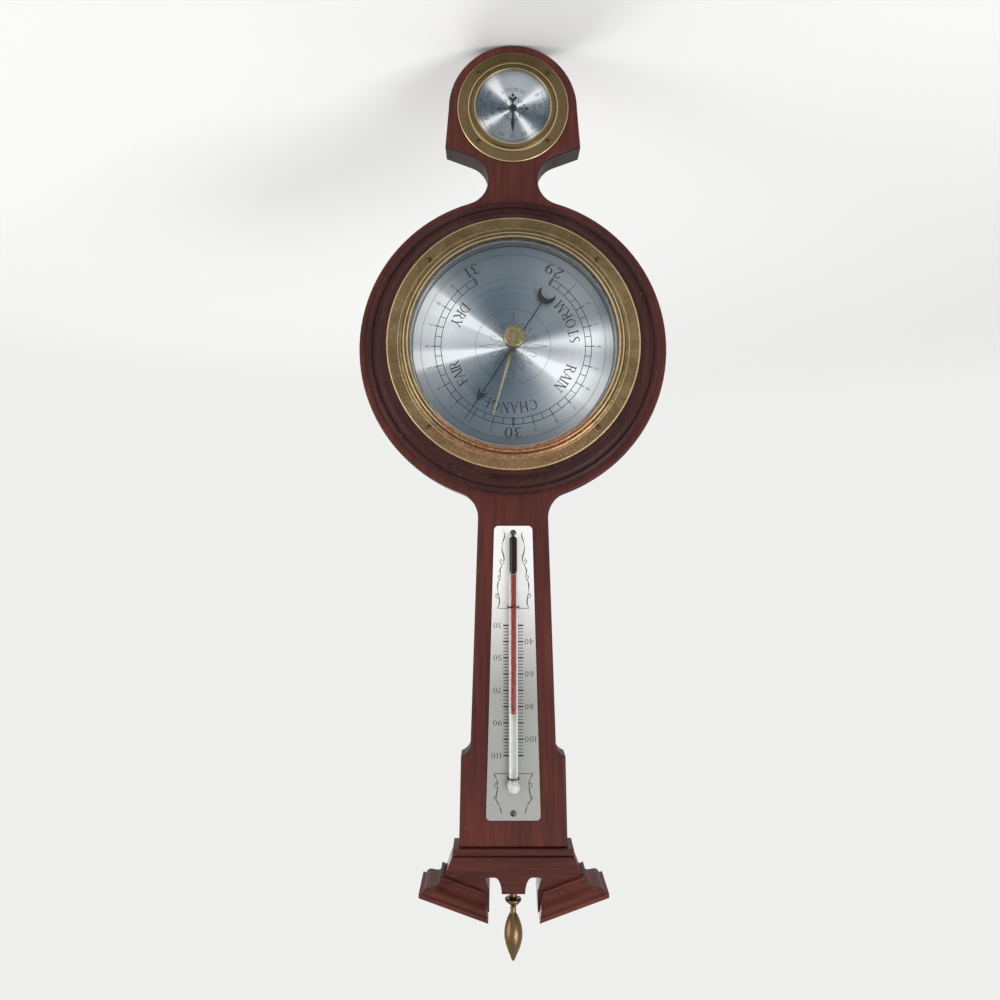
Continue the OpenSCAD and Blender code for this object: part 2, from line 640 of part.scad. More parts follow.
adjust_r = 1.5;
module adjusting_screw() color(brass) upright() at(capsule_at) difference() {
    union() {
        hole([0, 0], can_recess - 1.4, plate_z - can_recess + 1.1, adjust_r);
        hole([0, 0], can_recess - 2.6, 1.2, adjust_r + 1.2);
    }
    translate([-adjust_r - 2, -0.4, can_recess - 3.4]) cube([2 * adjust_r + 4, 0.8, 1.4]);
}

bridge_dir = unit(sector_at);
bridge_ends = [-bridge_reach * bridge_dir, sector_at + bridge_reach * bridge_dir];
module movement_bridge() color(brass) upright() difference() {
    union() {
        at(bridge_ends[0], bridge_z) rotate([0, 0, atan2(bridge_dir.y, bridge_dir.x)]) translate([0, -3.4, 0])
            cube([norm(bridge_ends[1] - bridge_ends[0]), 6.8, bridge_t]);
        for (p = bridge_ends) hole(p, bridge_z, bridge_t, 3.4);
    }
    hole([0, 0], bridge_z - 1, bridge_t + 2, arbor_r - 0.3 + run_gap);
    hole(sector_at, bridge_z - 1, bridge_t + 2, pivot_r + run_gap);
}

module bridge_pillars() color(brass) upright() for (p = bridge_ends)
    hole(p, plate_z, bridge_z - plate_z, bridge_pillar_r);

bend_x = capsule_at.x - capsule_r - bend_gap;
post_r = 1.5;
module main_spring() color(steel) upright() difference() {
    translate([0, capsule_at.y + spring_w / 2, 0]) rotate([90, 0, 0]) linear_extrude(spring_w) {
        difference() {
            translate([bend_x, plate_z + bend_r]) circle(r = bend_r);
            translate([bend_x, plate_z + bend_r]) circle(r = bend_r - leaf_t);
            translate([bend_x, plate_z - 1]) square([2 * bend_r, 2 * bend_r + 2]);
        }
        translate([bend_x - 0.01, leaf_z]) square([capsule_at.x + 4 - bend_x, leaf_t]);
        translate([bend_x - 0.01, plate_z]) square([capsule_at.x + 10 - bend_x, leaf_t]);
    }
    hole(capsule_at, leaf_z - 1, leaf_t + 2, post_r + pass_gap);
}

// Two corrugated diaphragms joined at the rim
module aneroid_capsule() color(silver) upright() at(capsule_at, capsule_z) rotate_extrude() polygon(concat(
    [[0, 0], [capsule_r - 3, 0], [capsule_r - 1.6, capsule_h / 2 - 0.4], [capsule_r, capsule_h / 2 - 0.4],
     [capsule_r, capsule_h / 2 + 0.4], [capsule_r - 1.6, capsule_h / 2 + 0.4]],
    [for (i = [0:24]) let (k = i / 24) [capsule_r - 2 - (capsule_r - 6) * k, capsule_h - 0.35 + 0.35 * cos(1080 * k)]],
    [[3.4, capsule_h], [0, capsule_h]]));

module capsule_post() color(brass) upright() at(capsule_at) {
    hole([0, 0], capsule_z + capsule_h + 0.5, lever_z + lever_t - capsule_z - capsule_h - 0.2, post_r);
}

module main_lever() color(steel) upright() difference() {
    translate([0, 0, lever_z]) linear_extrude(lever_t) {
        at(capsule_at) circle(r = 3);
        polygon([capsule_at + [0, 2], capsule_at - [0, 2], link_at - [0, 1.2], link_at + [0, 1.2]]);
        at(link_at) circle(r = 1.4);
    }
    hole(capsule_at, lever_z - 1, lever_t + 2, post_r + seat_gap);
    hole(link_at, lever_z - 1, lever_t + 2, rod_r + seat_gap);
}

rod_r = 0.5;
module connecting_rod() color(steel) upright() hole(link_at, rocker_z - 1.2, lever_z + lever_t - rocker_z + 1.2, rod_r);

rocker_r = 1;
rocker_high = capsule_at.y + 7;
rocker_low = tail_at.y - 1;
bracket_ys = [capsule_at.y + 5, tail_at.y + 6];
module rocker() color(steel) upright() difference() {
    union() {
        translate([rocker_x, rocker_low, rocker_z]) along_y() cylinder(h = rocker_high - rocker_low, r = rocker_r);
        at(link_at, rocker_z - 0.5) cylinder(h = 1, r = rod_r + pass_gap + 1);
        translate([link_at.x + 1.2, link_at.y - 0.9, rocker_z - 0.5]) cube([crank_r - 1.2, 1.8, 1]);
        hole(tail_at, rocker_z, rocker_arm + sector_t / 2 + 1, 0.6);
    }
    hole(link_at, rocker_z - 2, 4, rod_r + pass_gap + 0.1);
}

module rocker_brackets() color(brass) upright() for (y = bracket_ys) difference() {
    translate([rocker_x - 2.5, y - 1.5, plate_z]) cube([5, 3, rocker_z - plate_z + 2.4]);
    translate([rocker_x, y - 3, rocker_z]) along_y() cylinder(h = 6, r = rocker_r + run_gap);
}

first_tooth = -6;
last_tooth = 8;
module sector_gear() color(brass) upright() at(sector_at, gear_z) difference() {
    linear_extrude(sector_t) {
        rotate(sector_turn) polygon(concat([[0, 0]], teeth_outline(sector_r, sector_teeth, first_tooth, last_tooth)));
        circle(r = 3.2);
        translate([0, tail_r]) circle(r = 2.6);
    }
    translate([0, 0, -1]) cylinder(h = sector_t + 2, r = pivot_r + seat_gap);
    translate([-0.6 - pass_gap, tail_r - 1.2, -1]) cube([1.2 + 2 * pass_gap, 2.4, sector_t + 2]);
    rotate([0, 0, sector_turn + 2.5]) for (d = [14, 21, 28]) translate([d, 0, -1]) cylinder(h = sector_t + 2, r = d / 8);
}

module sector_arbor() color(steel) upright() union() {
    hole(sector_at, floor_z + 0.3, bridge_z + bridge_t - floor_z - 0.3, pivot_r);
    hole(sector_at, plate_z + 0.5, gear_z - plate_z - 0.5, pivot_r + 0.8);
    hole(sector_at, gear_z + sector_t, bridge_z - gear_z - sector_t - 0.4, pivot_r + 0.8);
}

stud_at = polar(5.2, 0);
module hairspring() color("#5f7088") upright() union() {
    translate([0, 0, collet_z + 0.5]) spiral(collet_r + pass_gap + 0.15, stud_at.x, 3, 0.2, 1);
    hole(stud_at, plate_z, collet_z + 1.5 - plate_z, 0.6);
}

// Hygrometer

damp_screw_l = 7;
damp_shank_r = 0.9;
damp_head_r = 1.4;
module hygrometer_can() color(steel) upright() at(head_at) can(damp_can_r, damp_rebate - 0.2, board_t);

module hygrometer_bezel() color(brass) upright() at(head_at) difference() {
    translate([0, 0, board_t]) rotate_extrude($fn = 140) polygon(concat(
        [[damp_rebate, 0], [damp_bezel_r, 0], [damp_bezel_r, 0.6], [damp_bezel_r - 0.4, 1],
         [damp_rebate + 2.5, 1]],
        arc([damp_rebate + 1.6, 1], 0.7, 30, 150, 5),
        [for (i = [0:6]) let (a = 15 * i)
            [damp_rebate + 0.1 + 0.8 * (1 - sin(a)), damp_lip_rise - (damp_lip_rise - 1.35) * cos(a)]],
        [[damp_lip_r + 0.3, damp_lip_rise]],
        [[damp_lip_r, damp_lip_rise - 0.3], [damp_lip_r, can_sheet + damp_glass_t], [damp_rebate, can_sheet + damp_glass_t]]));
    at_angles([45:90:315], damp_screw_r) translate([0, 0, board_t - 1]) cylinder(h = 5, r = damp_shank_r + seat_gap);
}

module hygrometer_bezel_screws() color(brass) upright() at(head_at) at_angles([45:90:315], damp_screw_r)
    translate([0, 0, board_t + 1]) screw(damp_head_r, 0.7, damp_shank_r, damp_screw_l);

module hygrometer_glass() color("#dfeef2", 0.35) upright() at(head_at, damp_glass_z)
    cylinder(h = damp_glass_t, r = damp_rebate - 0.2);

leg_r = 1.2;
leg_inset = 3;
leg_h = damp_dial_z - dial_t - floor_z;
module hygrometer_dial() color(silver) upright() at(head_at, damp_dial_z - dial_t) difference() {
    union() {
        cylinder(h = dial_t, r = damp_can_r - can_sheet - 0.1);
        at_angles([90, 210, 330], damp_can_r - leg_inset)
            translate([0, 0, -leg_h]) cylinder(h = leg_h, r = leg_r);
    }
    translate([0, 0, -1]) cylinder(h = dial_t + 2, r = damp_arbor_r + run_gap);
}

damp_arbor_r = 0.8;
damp_collet_r = 1.8;
coil_z = floor_z + 4.4;
coil_out = 8;
module humidity_bracket() color(brass) upright() at(head_at) difference() {
    union() {
        hole([0, 0], floor_z, 1, coil_out + 2);
        hole([0, 0], floor_z, 3.4, 1.8);
        hole([coil_out, 0], floor_z, coil_z - floor_z, 0.8);
    }
    hole([0, 0], floor_z + 1.2, 4, damp_arbor_r + run_gap);
}

module humidity_coil() color("#9a7f52") upright() at(head_at, coil_z)
    spiral(damp_collet_r + pass_gap + 0.2, coil_out, coil_turns, 0.3, coil_w);

module humidity_arbor() color(steel) upright() at(head_at) union() {
    hole([0, 0], floor_z + 1.5, damp_hand_z + 0.1 - floor_z - 1.5, damp_arbor_r);
    hole([0, 0], coil_z - 0.4, coil_w + 0.8, damp_collet_r);
}

module humidity_hand() color(black) upright() at(head_at, damp_hand_z + 0.1) {
    cylinder(h = 0.5, r = 2.2);
    linear_extrude(0.35) {
        polygon([[-0.5, 0], [0.5, 0], [0.5, damp_hand_len * 0.45], [1.1, damp_hand_len * 0.6],
            [0, damp_hand_len], [-1.1, damp_hand_len * 0.6], [-0.5, damp_hand_len * 0.45]]);
        translate([-0.45, -damp_hand_len * 0.4]) square([0.9, damp_hand_len * 0.4]);
        translate([0, -damp_hand_len * 0.42]) difference() {
            circle(r = 1.9);
            translate([0, -1]) circle(r = 1.5);
        }
    }
}

// Thermometer

scale_screw_l = 6;
scale_shank_r = 1;
scale_outline = rounded([[-scale_half_top, scale_len], [scale_half_top, scale_len],
    [scale_half_low, 0], [-scale_half_low, 0]], 2.4, 5);
module thermometer_plate() color(silver) upright() difference() {
    translate([0, scale_y, board_t]) linear_extrude(scale_t) polygon(scale_outline);
    for (y = scale_screw_ys) hole([0, y], board_t - 1, scale_t + 2, scale_shank_r + seat_gap);
    for (y = staple_ys, side = [-1, 1]) hole([side * staple_r, y], board_t - 1, scale_t + 2, wire_r + seat_gap);
}

module plate_screws() color(steel) upright() for (y = scale_screw_ys)
    at([0, y], board_t + scale_t) screw(1.8, 0.9, scale_shank_r, scale_screw_l);

// Tube, drawn along its axis from its bulb end
module tube_frame() upright() translate([0, tube_y, tube_z]) along_y() children();
glass_wall = 0.4;
chamber_r = bulb_r - glass_wall;
bulb_low = bulb_y - tube_y;
bulb_top = column_y - tube_y;
module thermometer_tube() color("#e8f0f0", 0.4) tube_frame() difference() {
    rotate_extrude() polygon(concat(arc([0, bulb_r], bulb_r, -90, 0, 6),
        [[bulb_r, bulb_top - 1], [tube_r, bulb_top + 0.6]],
        arc([0, tube_len - tube_r], tube_r, 0, 90, 6)));
    rotate_extrude() polygon([[0, bulb_low], [chamber_r, bulb_low + 1],
        [chamber_r, bulb_top - 1.2], [bore_r, bulb_top], [bore_r, tube_len - 2.6], [0, tube_len - 2]]);
}

module bulb_spirit() color(spirit_red) tube_frame() rotate_extrude() let (g = run_gap)
    polygon([[0, bulb_low + 2 * g], [chamber_r - g, bulb_low + 1 + g], [chamber_r - g, bulb_top - 1.2 - g],
        [bore_r - g, bulb_top - g], [0, bulb_top - g]]);

module spirit_column() color(spirit_red) tube_frame() translate([0, 0, column_y - tube_y])
    cylinder(h = surface_y - column_y - cap_len - run_gap, r = bore_r - run_gap);

module spirit_surface() color(spirit_red) tube_frame() translate([0, 0, surface_y - tube_y - cap_len])
    rotate_extrude() polygon([[0, 0], [bore_r - run_gap, 0], [bore_r - run_gap, cap_len], [0, cap_len - 0.35]]);

staple_r = tube_r + wire_r + 0.05;
staple_leg = 3;
module tube_staples() color(black) upright() for (y = staple_ys) translate([0, y, tube_z]) {
    rotate([90, 0, 0]) rotate_extrude(angle = 180) translate([staple_r, 0]) circle(r = wire_r, $fn = 24);
    for (side = [-1, 1]) translate([side * staple_r, 0, board_t - staple_leg - tube_z])
        cylinder(h = tube_z - board_t + staple_leg, r = wire_r, $fn = 24);
}

// Hanger

hanger_screw_l = 9;
hanger_shank_r = 1.2;
hanger_head_r = 2.4;
function hanger_outline(g) = rounded([[-hanger_half - g, hanger_high + g], [hanger_half + g, hanger_high + g],
    [hanger_half + g, -hanger_low - g], [-hanger_half - g, -hanger_low - g]], 3, 5);
module hanger_plate() color(brass) upright() translate([0, hang_y, 0]) difference() {
    linear_extrude(hanger_t) polygon(hanger_outline(0));
    hole([0, 0], -1, hanger_t + 2, keyhole_r);
    hole([0, hang_slide], -1, hanger_t + 2, keyslot_r);
    translate([-keyslot_r, 0, -1]) cube([2 * keyslot_r, hang_slide, hanger_t + 2]);
    for (y = hanger_screw_ys) translate([0, y, 0]) rotate_extrude() polygon([[0, -1], [hanger_head_r + seat_gap, -1],
        [hanger_head_r + seat_gap, 0], [hanger_shank_r + seat_gap, hanger_t], [hanger_shank_r + seat_gap, hanger_t + 1],
        [0, hanger_t + 1]]);
}

module hanger_screws() color(steel) upright() for (y = hanger_screw_ys) translate([0, hang_y + y, 0]) difference() {
    rotate_extrude() polygon([[0, 0], [hanger_head_r, 0], [hanger_shank_r, hanger_t],
        [hanger_shank_r, hanger_t + hanger_screw_l], [0, hanger_t + hanger_screw_l]]);
    translate([-hanger_head_r, -0.3, -1]) cube([2 * hanger_head_r, 0.6, 1.5]);
}

case_board();
dial_ring();
bed_strip();
pediment_board();
cornice_left();
cornice_right();
cornice_return_left();
cornice_return_right();
finial();
barometer_can();
barometer_bezel();
barometer_bezel_screws();
barometer_glass();
barometer_dial();
dial_pillars();
movement_plate();
movement_screws();
movement_bridge();
bridge_pillars();
main_spring();
aneroid_capsule();
rocker_brackets();
hairspring();
pressure_hand();
hand_arbor();
hand_pinion();
sector_gear();
sector_arbor();
rocker();
capsule_post();
main_lever();
connecting_rod();
adjusting_screw();
setting_knob();
setting_hand();
hygrometer_can();
hygrometer_bezel();
hygrometer_bezel_screws();
hygrometer_glass();
hygrometer_dial();
humidity_bracket();
humidity_coil();
humidity_arbor();
humidity_hand();
thermometer_plate();
plate_screws();
thermometer_tube();
tube_staples();
bulb_spirit();
spirit_column();
spirit_surface();
hanger_plate();
hanger_screws();
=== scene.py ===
"""Finishes, dial printing and studio stage for a banjo barometer."""

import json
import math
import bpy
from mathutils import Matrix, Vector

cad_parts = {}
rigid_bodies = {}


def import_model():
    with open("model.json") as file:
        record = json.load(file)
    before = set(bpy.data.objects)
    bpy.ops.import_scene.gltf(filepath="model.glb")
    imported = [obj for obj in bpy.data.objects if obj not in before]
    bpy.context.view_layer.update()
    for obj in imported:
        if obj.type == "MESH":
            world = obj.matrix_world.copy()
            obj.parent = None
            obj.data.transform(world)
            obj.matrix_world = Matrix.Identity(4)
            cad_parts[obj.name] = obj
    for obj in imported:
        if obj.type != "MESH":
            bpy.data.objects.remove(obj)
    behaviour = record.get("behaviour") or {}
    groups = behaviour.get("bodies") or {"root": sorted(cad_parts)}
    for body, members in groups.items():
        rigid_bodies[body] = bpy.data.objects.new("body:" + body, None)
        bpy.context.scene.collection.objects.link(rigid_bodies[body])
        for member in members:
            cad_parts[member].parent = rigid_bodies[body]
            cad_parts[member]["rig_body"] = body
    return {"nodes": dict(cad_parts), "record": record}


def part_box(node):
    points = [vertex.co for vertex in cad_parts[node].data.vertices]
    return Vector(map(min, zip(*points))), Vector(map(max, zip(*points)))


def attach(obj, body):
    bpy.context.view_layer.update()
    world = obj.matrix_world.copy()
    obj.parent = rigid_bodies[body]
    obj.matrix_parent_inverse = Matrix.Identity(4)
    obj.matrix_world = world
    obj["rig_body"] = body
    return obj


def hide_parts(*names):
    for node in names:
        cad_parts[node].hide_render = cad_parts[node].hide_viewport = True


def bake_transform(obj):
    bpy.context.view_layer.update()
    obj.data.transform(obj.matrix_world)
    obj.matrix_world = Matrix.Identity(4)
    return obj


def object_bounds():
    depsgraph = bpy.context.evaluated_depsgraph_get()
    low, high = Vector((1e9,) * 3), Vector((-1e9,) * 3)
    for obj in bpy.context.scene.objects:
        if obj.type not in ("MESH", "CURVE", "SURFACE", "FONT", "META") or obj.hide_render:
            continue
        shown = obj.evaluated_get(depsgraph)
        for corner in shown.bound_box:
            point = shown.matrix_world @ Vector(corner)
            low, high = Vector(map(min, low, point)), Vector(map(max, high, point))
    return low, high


bl_info = {
    "name": "Banjo Barometer Finish",
    "version": (1, 0, 0),
    "blender": (4, 5, 0),
    "location": "View3D > Sidebar > Barometer",
    "description": "Polishes the wood, ages the brass, prints the dials and lights the barometer",
    "category": "Object",
}

import bmesh
import bpy
from bpy.props import FloatProperty, FloatVectorProperty, IntProperty, PointerProperty
from mathutils import Matrix, Vector, noise

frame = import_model()
CAD_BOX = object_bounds()
BODY = {name: node["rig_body"] for name, node in frame["nodes"].items()}
SLOT = {row["node"]: row["material_slot"] for row in frame["record"]["subparts"]}

MM = 0.001
MERGE = 1e-6
FLAT_ANGLE = math.radians(0.5)
CORNER_ANGLE = math.radians(28)
SMOOTH_ANGLE = math.radians(35)
INK_DEPTH = 0.03

# Softening of small edges
HAIR_EASE, FINE_EASE, PLATE_EASE = 0.05 * MM, 0.08 * MM, 0.12 * MM
BODY_EASE, KNOB_EASE = 0.15 * MM, 0.2 * MM


def front_of(node):
    """The point on a node's front face, on its axis."""
    low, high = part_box(node)
    return Vector(((low.x + high.x) / 2, low.y, (low.z + high.z) / 2))


DIAL_FRONT = front_of("barometer_dial")
DAMP_FRONT = front_of("hygrometer_dial")
PLATE_FRONT = Vector((0, front_of("thermometer_plate").y, DIAL_FRONT.z))
BOARD_FRONT, BOARD_BACK = (corner.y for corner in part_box("case_board"))


def colour_setting(name, description, red, green, blue):
    """A colour in the panel."""
    return FloatVectorProperty(
        name=name, description=description, subtype="COLOR", size=4, min=0, max=1,
        default=(red, green, blue, 1))


def edge_setting(name, description, default):
    """A rounding of edges in the panel."""
    return FloatProperty(
        name=name, description=description, subtype="DISTANCE", unit="LENGTH", min=0, default=default)


def print_setting(name, description, default):
    """A size of the printing in the panel."""
    return FloatProperty(name=name, description=description + ", in millimetres", min=1, default=default)


class WoodSettings(bpy.types.PropertyGroup):
    """Colours and edges of the polished case"""

    light: colour_setting("Light Grain", "Paler streaks of the mahogany", 0.113, 0.0290, 0.0222)
    dark: colour_setting("Dark Grain", "Darker streaks of the mahogany", 0.042, 0.0124, 0.0106)
    ring_light: colour_setting("Ring Light Grain", "Paler streaks of the turned ring", 0.060, 0.020, 0.017)
    ring_dark: colour_setting("Ring Dark Grain", "Darker streaks of the turned ring", 0.022, 0.008, 0.0075)
    # edge is the much darker colour of the front edge and the sides
    edge: colour_setting("Edge Stain", "Stain gathered along the edges and sides", 0.010, 0.0058, 0.0048)
    worn: colour_setting("Worn Polish", "Wood where the polish is rubbed", 0.185, 0.058, 0.040)
    bare_light: colour_setting("Bare Light Grain", "Paler streaks of the bare back", 0.235, 0.110, 0.062)
    bare_dark: colour_setting("Bare Dark Grain", "Darker streaks of the bare back", 0.115, 0.047, 0.027)
    edge_round: edge_setting("Edge Round", "Radius of the board's front edge", 1.6 * MM)
    arris: edge_setting("Arris", "Softening of the mouldings' corners", 0.35 * MM)


class BrassSettings(bpy.types.PropertyGroup):
    """Colours of the aged brass"""

    dull: colour_setting("Dull Brass", "Tarnished brass", 0.132, 0.093, 0.043)
    # bright also paints the highlights along the bezels' rims, and with copper the painted warm reflection
    # on their upper part
    bright: colour_setting("Bright Brass", "Rubbed brass", 0.660, 0.515, 0.280)
    spot: colour_setting("Spots", "Brown and green spots", 0.038, 0.029, 0.015)
    copper: colour_setting("Copper", "Red bloom where the lacquer has gone", 0.250, 0.092, 0.050)


class DialSettings(bpy.types.PropertyGroup):
    """Printing and metal of the dials"""

    band_outer: print_setting("Scale Outer Radius", "Outer line of the pressure scale", 44.9)
    band_inner: print_setting("Scale Inner Radius", "Inner line of the pressure scale", 41.3)
    sweep: FloatProperty(
        name="Sweep", description="Turn from the middle of the scale to either end", subtype="ANGLE",
        unit="ROTATION", default=math.radians(150))
    tenths: IntProperty(
        name="Tenths", description="Numbered divisions in each half of the scale", min=1, default=10)
    numeral: print_setting("Numeral Height", "Height of the three large numbers", 6.1)
    word: print_setting("Word Height", "Height of the weather words", 6.0)
    dim: colour_setting("Dim Metal", "Spun metal away from the light", 0.060, 0.098, 0.133)
    bright: colour_setting("Bright Metal", "Spun metal in its bright rays", 0.905, 0.955, 0.985)


class StageSettings(bpy.types.PropertyGroup):
    """Camera and light"""

    lens: FloatProperty(
        name="Lens", description="Focal length", subtype="DISTANCE_CAMERA", unit="CAMERA", default=34.2)
    eye: FloatVectorProperty(
        name="Camera Place", description="Where the camera stands", subtype="XYZ", unit="LENGTH",
        size=3, default=(0.0106, -0.564, -0.1441))
    gaze: FloatVectorProperty(
        name="Camera Direction", description="Where the camera looks", subtype="DIRECTION",
        size=3, default=(-0.0056, 0.9991, -0.0421))
    backdrop: colour_setting("Backdrop", "Pale background", 0.86, 0.86, 0.85)
    ambient: FloatProperty(
        name="Ambient", description="Level of the light from all round", min=0, default=0.54)


class Signal:
    """A node's output that takes part in arithmetic by adding Math nodes."""

    def __init__(self, sheet, socket):
        self.sheet = sheet
        self.socket = socket

    def math(self, operation, *values):
        return self.sheet.node("ShaderNodeMath", {"operation": operation}, dict(enumerate(values)))

    def __add__(self, other):
        return self.math("ADD", self, other)

    def __radd__(self, other):
        return self.math("ADD", other, self)

    def __sub__(self, other):
        return self.math("SUBTRACT", self, other)

    def __rsub__(self, other):
        return self.math("SUBTRACT", other, self)

    def __mul__(self, other):
        return self.math("MULTIPLY", self, other)

    def __rmul__(self, other):
        return self.math("MULTIPLY", other, self)

    def __truediv__(self, other):
        return self.math("DIVIDE", self, other)

    def __pow__(self, other):
        return self.math("POWER", self, other)

    def __abs__(self):
        return self.math("ABSOLUTE", self)

    def below(self, limit):
        """1 under the limit and 0 above it."""
        return self.math("LESS_THAN", self, limit)

    def at_least(self, low):
        return self.math("MAXIMUM", self, low)

    def at_most(self, high):
        return self.math("MINIMUM", self, high)

    def ramp(self, low, high):
        """0 below low and 1 above high, with a smooth rise between."""
        sockets = {"Value": self, "From Min": low, "From Max": high, "To Min": 0.0, "To Max": 1.0}
        return self.sheet.node("ShaderNodeMapRange", {"interpolation_type": "SMOOTHSTEP"}, sockets)


class Sheet:
    """A node tree under construction."""

    def __init__(self, tree):
        self.tree = tree
        tree.nodes.clear()

    def node(self, kind, settings=None, sockets=None, out=0):
        """Adds a node: settings are set first, then each socket gets its value or link."""
        made = self.tree.nodes.new(kind)
        for name, value in (settings or {}).items():
            setattr(made, name, value)
        for key, value in (sockets or {}).items():
            if isinstance(value, Signal):
                self.tree.links.new(value.socket, made.inputs[key])
            else:
                made.inputs[key].default_value = value
        return Signal(self, made.outputs[out]) if made.outputs else made

    def mix(self, factor, first, second):
        settings = {"data_type": "RGBA", "clamp_factor": True}
        return self.node("ShaderNodeMix", settings, {0: factor, 6: first, 7: second}, out=2)


class Paint(Sheet):
    """A material under construction, on the object's own coordinates in metres."""

    def __init__(self, name):
        self.material = bpy.data.materials.new(name)
        self.material.use_nodes = True
        super().__init__(self.material.node_tree)
        self.place = self.node("ShaderNodeTexCoord", out="Object")

    def axes(self, centre=(0, 0, 0)):
        """The three coordinates, counted from a centre."""
        moved = self.node("ShaderNodeVectorMath", {"operation": "SUBTRACT"}, {0: self.place, 1: centre})
        apart = self.node("ShaderNodeSeparateXYZ", None, {0: moved})
        outputs = apart.socket.node.outputs
        return [Signal(self, outputs[name]) for name in "XYZ"]

    def grain(self, scale, stretch=(1, 1, 1), detail=4.0, rough=0.55, shift=0.0):
        """Noise with scale features to the metre, drawn out along an axis by a small stretch."""
        sockets = {"Vector": self.place, "Scale": stretch, "Location": (shift, shift, shift)}
        drawn = self.node("ShaderNodeMapping", None, sockets)
        sockets = {"Vector": drawn, "Scale": scale, "Detail": detail, "Roughness": rough}
        return self.node("ShaderNodeTexNoise", None, sockets)

    def specks(self, scale, size, share):
        """Scattered dots: one in each cell of a grid, of which only a share show."""
        sockets = {"Vector": self.place, "Scale": scale}
        near = self.node("ShaderNodeTexVoronoi", None, sockets, out="Distance")
        tint = self.node("ShaderNodeTexVoronoi", None, sockets, out="Color")
        pick = self.node("ShaderNodeSeparateColor", None, {0: tint})
        return near.below(size) * pick.below(share)

    def bump(self, height, strength, depth):
        sockets = {"Height": height, "Strength": strength, "Distance": depth}
        return self.node("ShaderNodeBump", None, sockets)

    def surface(self, sockets):
        shader = self.node("ShaderNodeBsdfPrincipled", None, sockets)
        self.node("ShaderNodeOutputMaterial", None, {"Surface": shader})
        return self.material


# Wood grain drawn out along each axis, and the colour of dust on it
ALONG = {"X": (0.045, 1, 1), "Y": (1, 0.045, 1), "Z": (1, 1, 0.045)}
DUST = (0.42, 0.33, 0.27, 1)


def mahogany(name, wood, along="Z", faces=None, ring=False, dust=0.06, rubbed=0.0):
    """Satin-polished mahogany.

    Between the two faces of a board the front edge and the sides are much darker and less glossy, and
    the back is bare. dust is the share of places with a speck of it.
    rubbed is the share of paler wood where hands and dusters have worn the polish.
    """
    light, dark = (wood.ring_light, wood.ring_dark) if ring else (wood.light, wood.dark)
    paint = Paint(name)
    figure = paint.grain(38, tuple(0.35 + 0.65 * s for s in ALONG[along]), 3)
    streaks = paint.grain(430, ALONG[along], 6, 0.62, 0.7)
    pores = paint.grain(2300, ALONG[along], 2, 0.5, 1.9).ramp(0.60, 0.74)
    tone = (0.45 * figure.ramp(0.3, 0.72) + 0.62 * streaks.ramp(0.26, 0.78)).at_most(1.0)
    colour = paint.mix(tone, dark, light)
    if rubbed:
        colour = paint.mix(rubbed * figure.ramp(0.3, 0.8), colour, wood.worn)
    colour = paint.mix(pores * 0.5, colour, dark)
    gloss = 0.07 - 0.04 * pores
    if faces:
        front, back = faces
        y = paint.axes()[1]
        # The front edge's rounding and the sides are much darker and less glossy
        darkened = (y - front).ramp(0.05 * wood.edge_round, 0.8 * wood.edge_round)
        colour = paint.mix(darkened * (0.75 + 0.3 * figure), colour, wood.edge)
        gloss = gloss * (1.0 - 0.8 * darkened)
        bare = paint.mix(tone, wood.bare_dark, wood.bare_light)
        colour = paint.mix((y - back).ramp(-0.3 * MM, -0.1 * MM), colour, bare)
    colour = paint.mix(paint.specks(300, 0.075, dust) * 0.5, colour, DUST)
    height = streaks * 0.5 - pores * 0.6
    return paint.surface({
        "Base Color": colour, "Roughness": 0.36 + 0.16 * streaks + 0.15 * pores,
        "Specular IOR Level": 0.08, "Coat Weight": gloss, "Coat Roughness": 0.22,
        "Normal": paint.bump(height, 0.25, 0.2 * MM)})


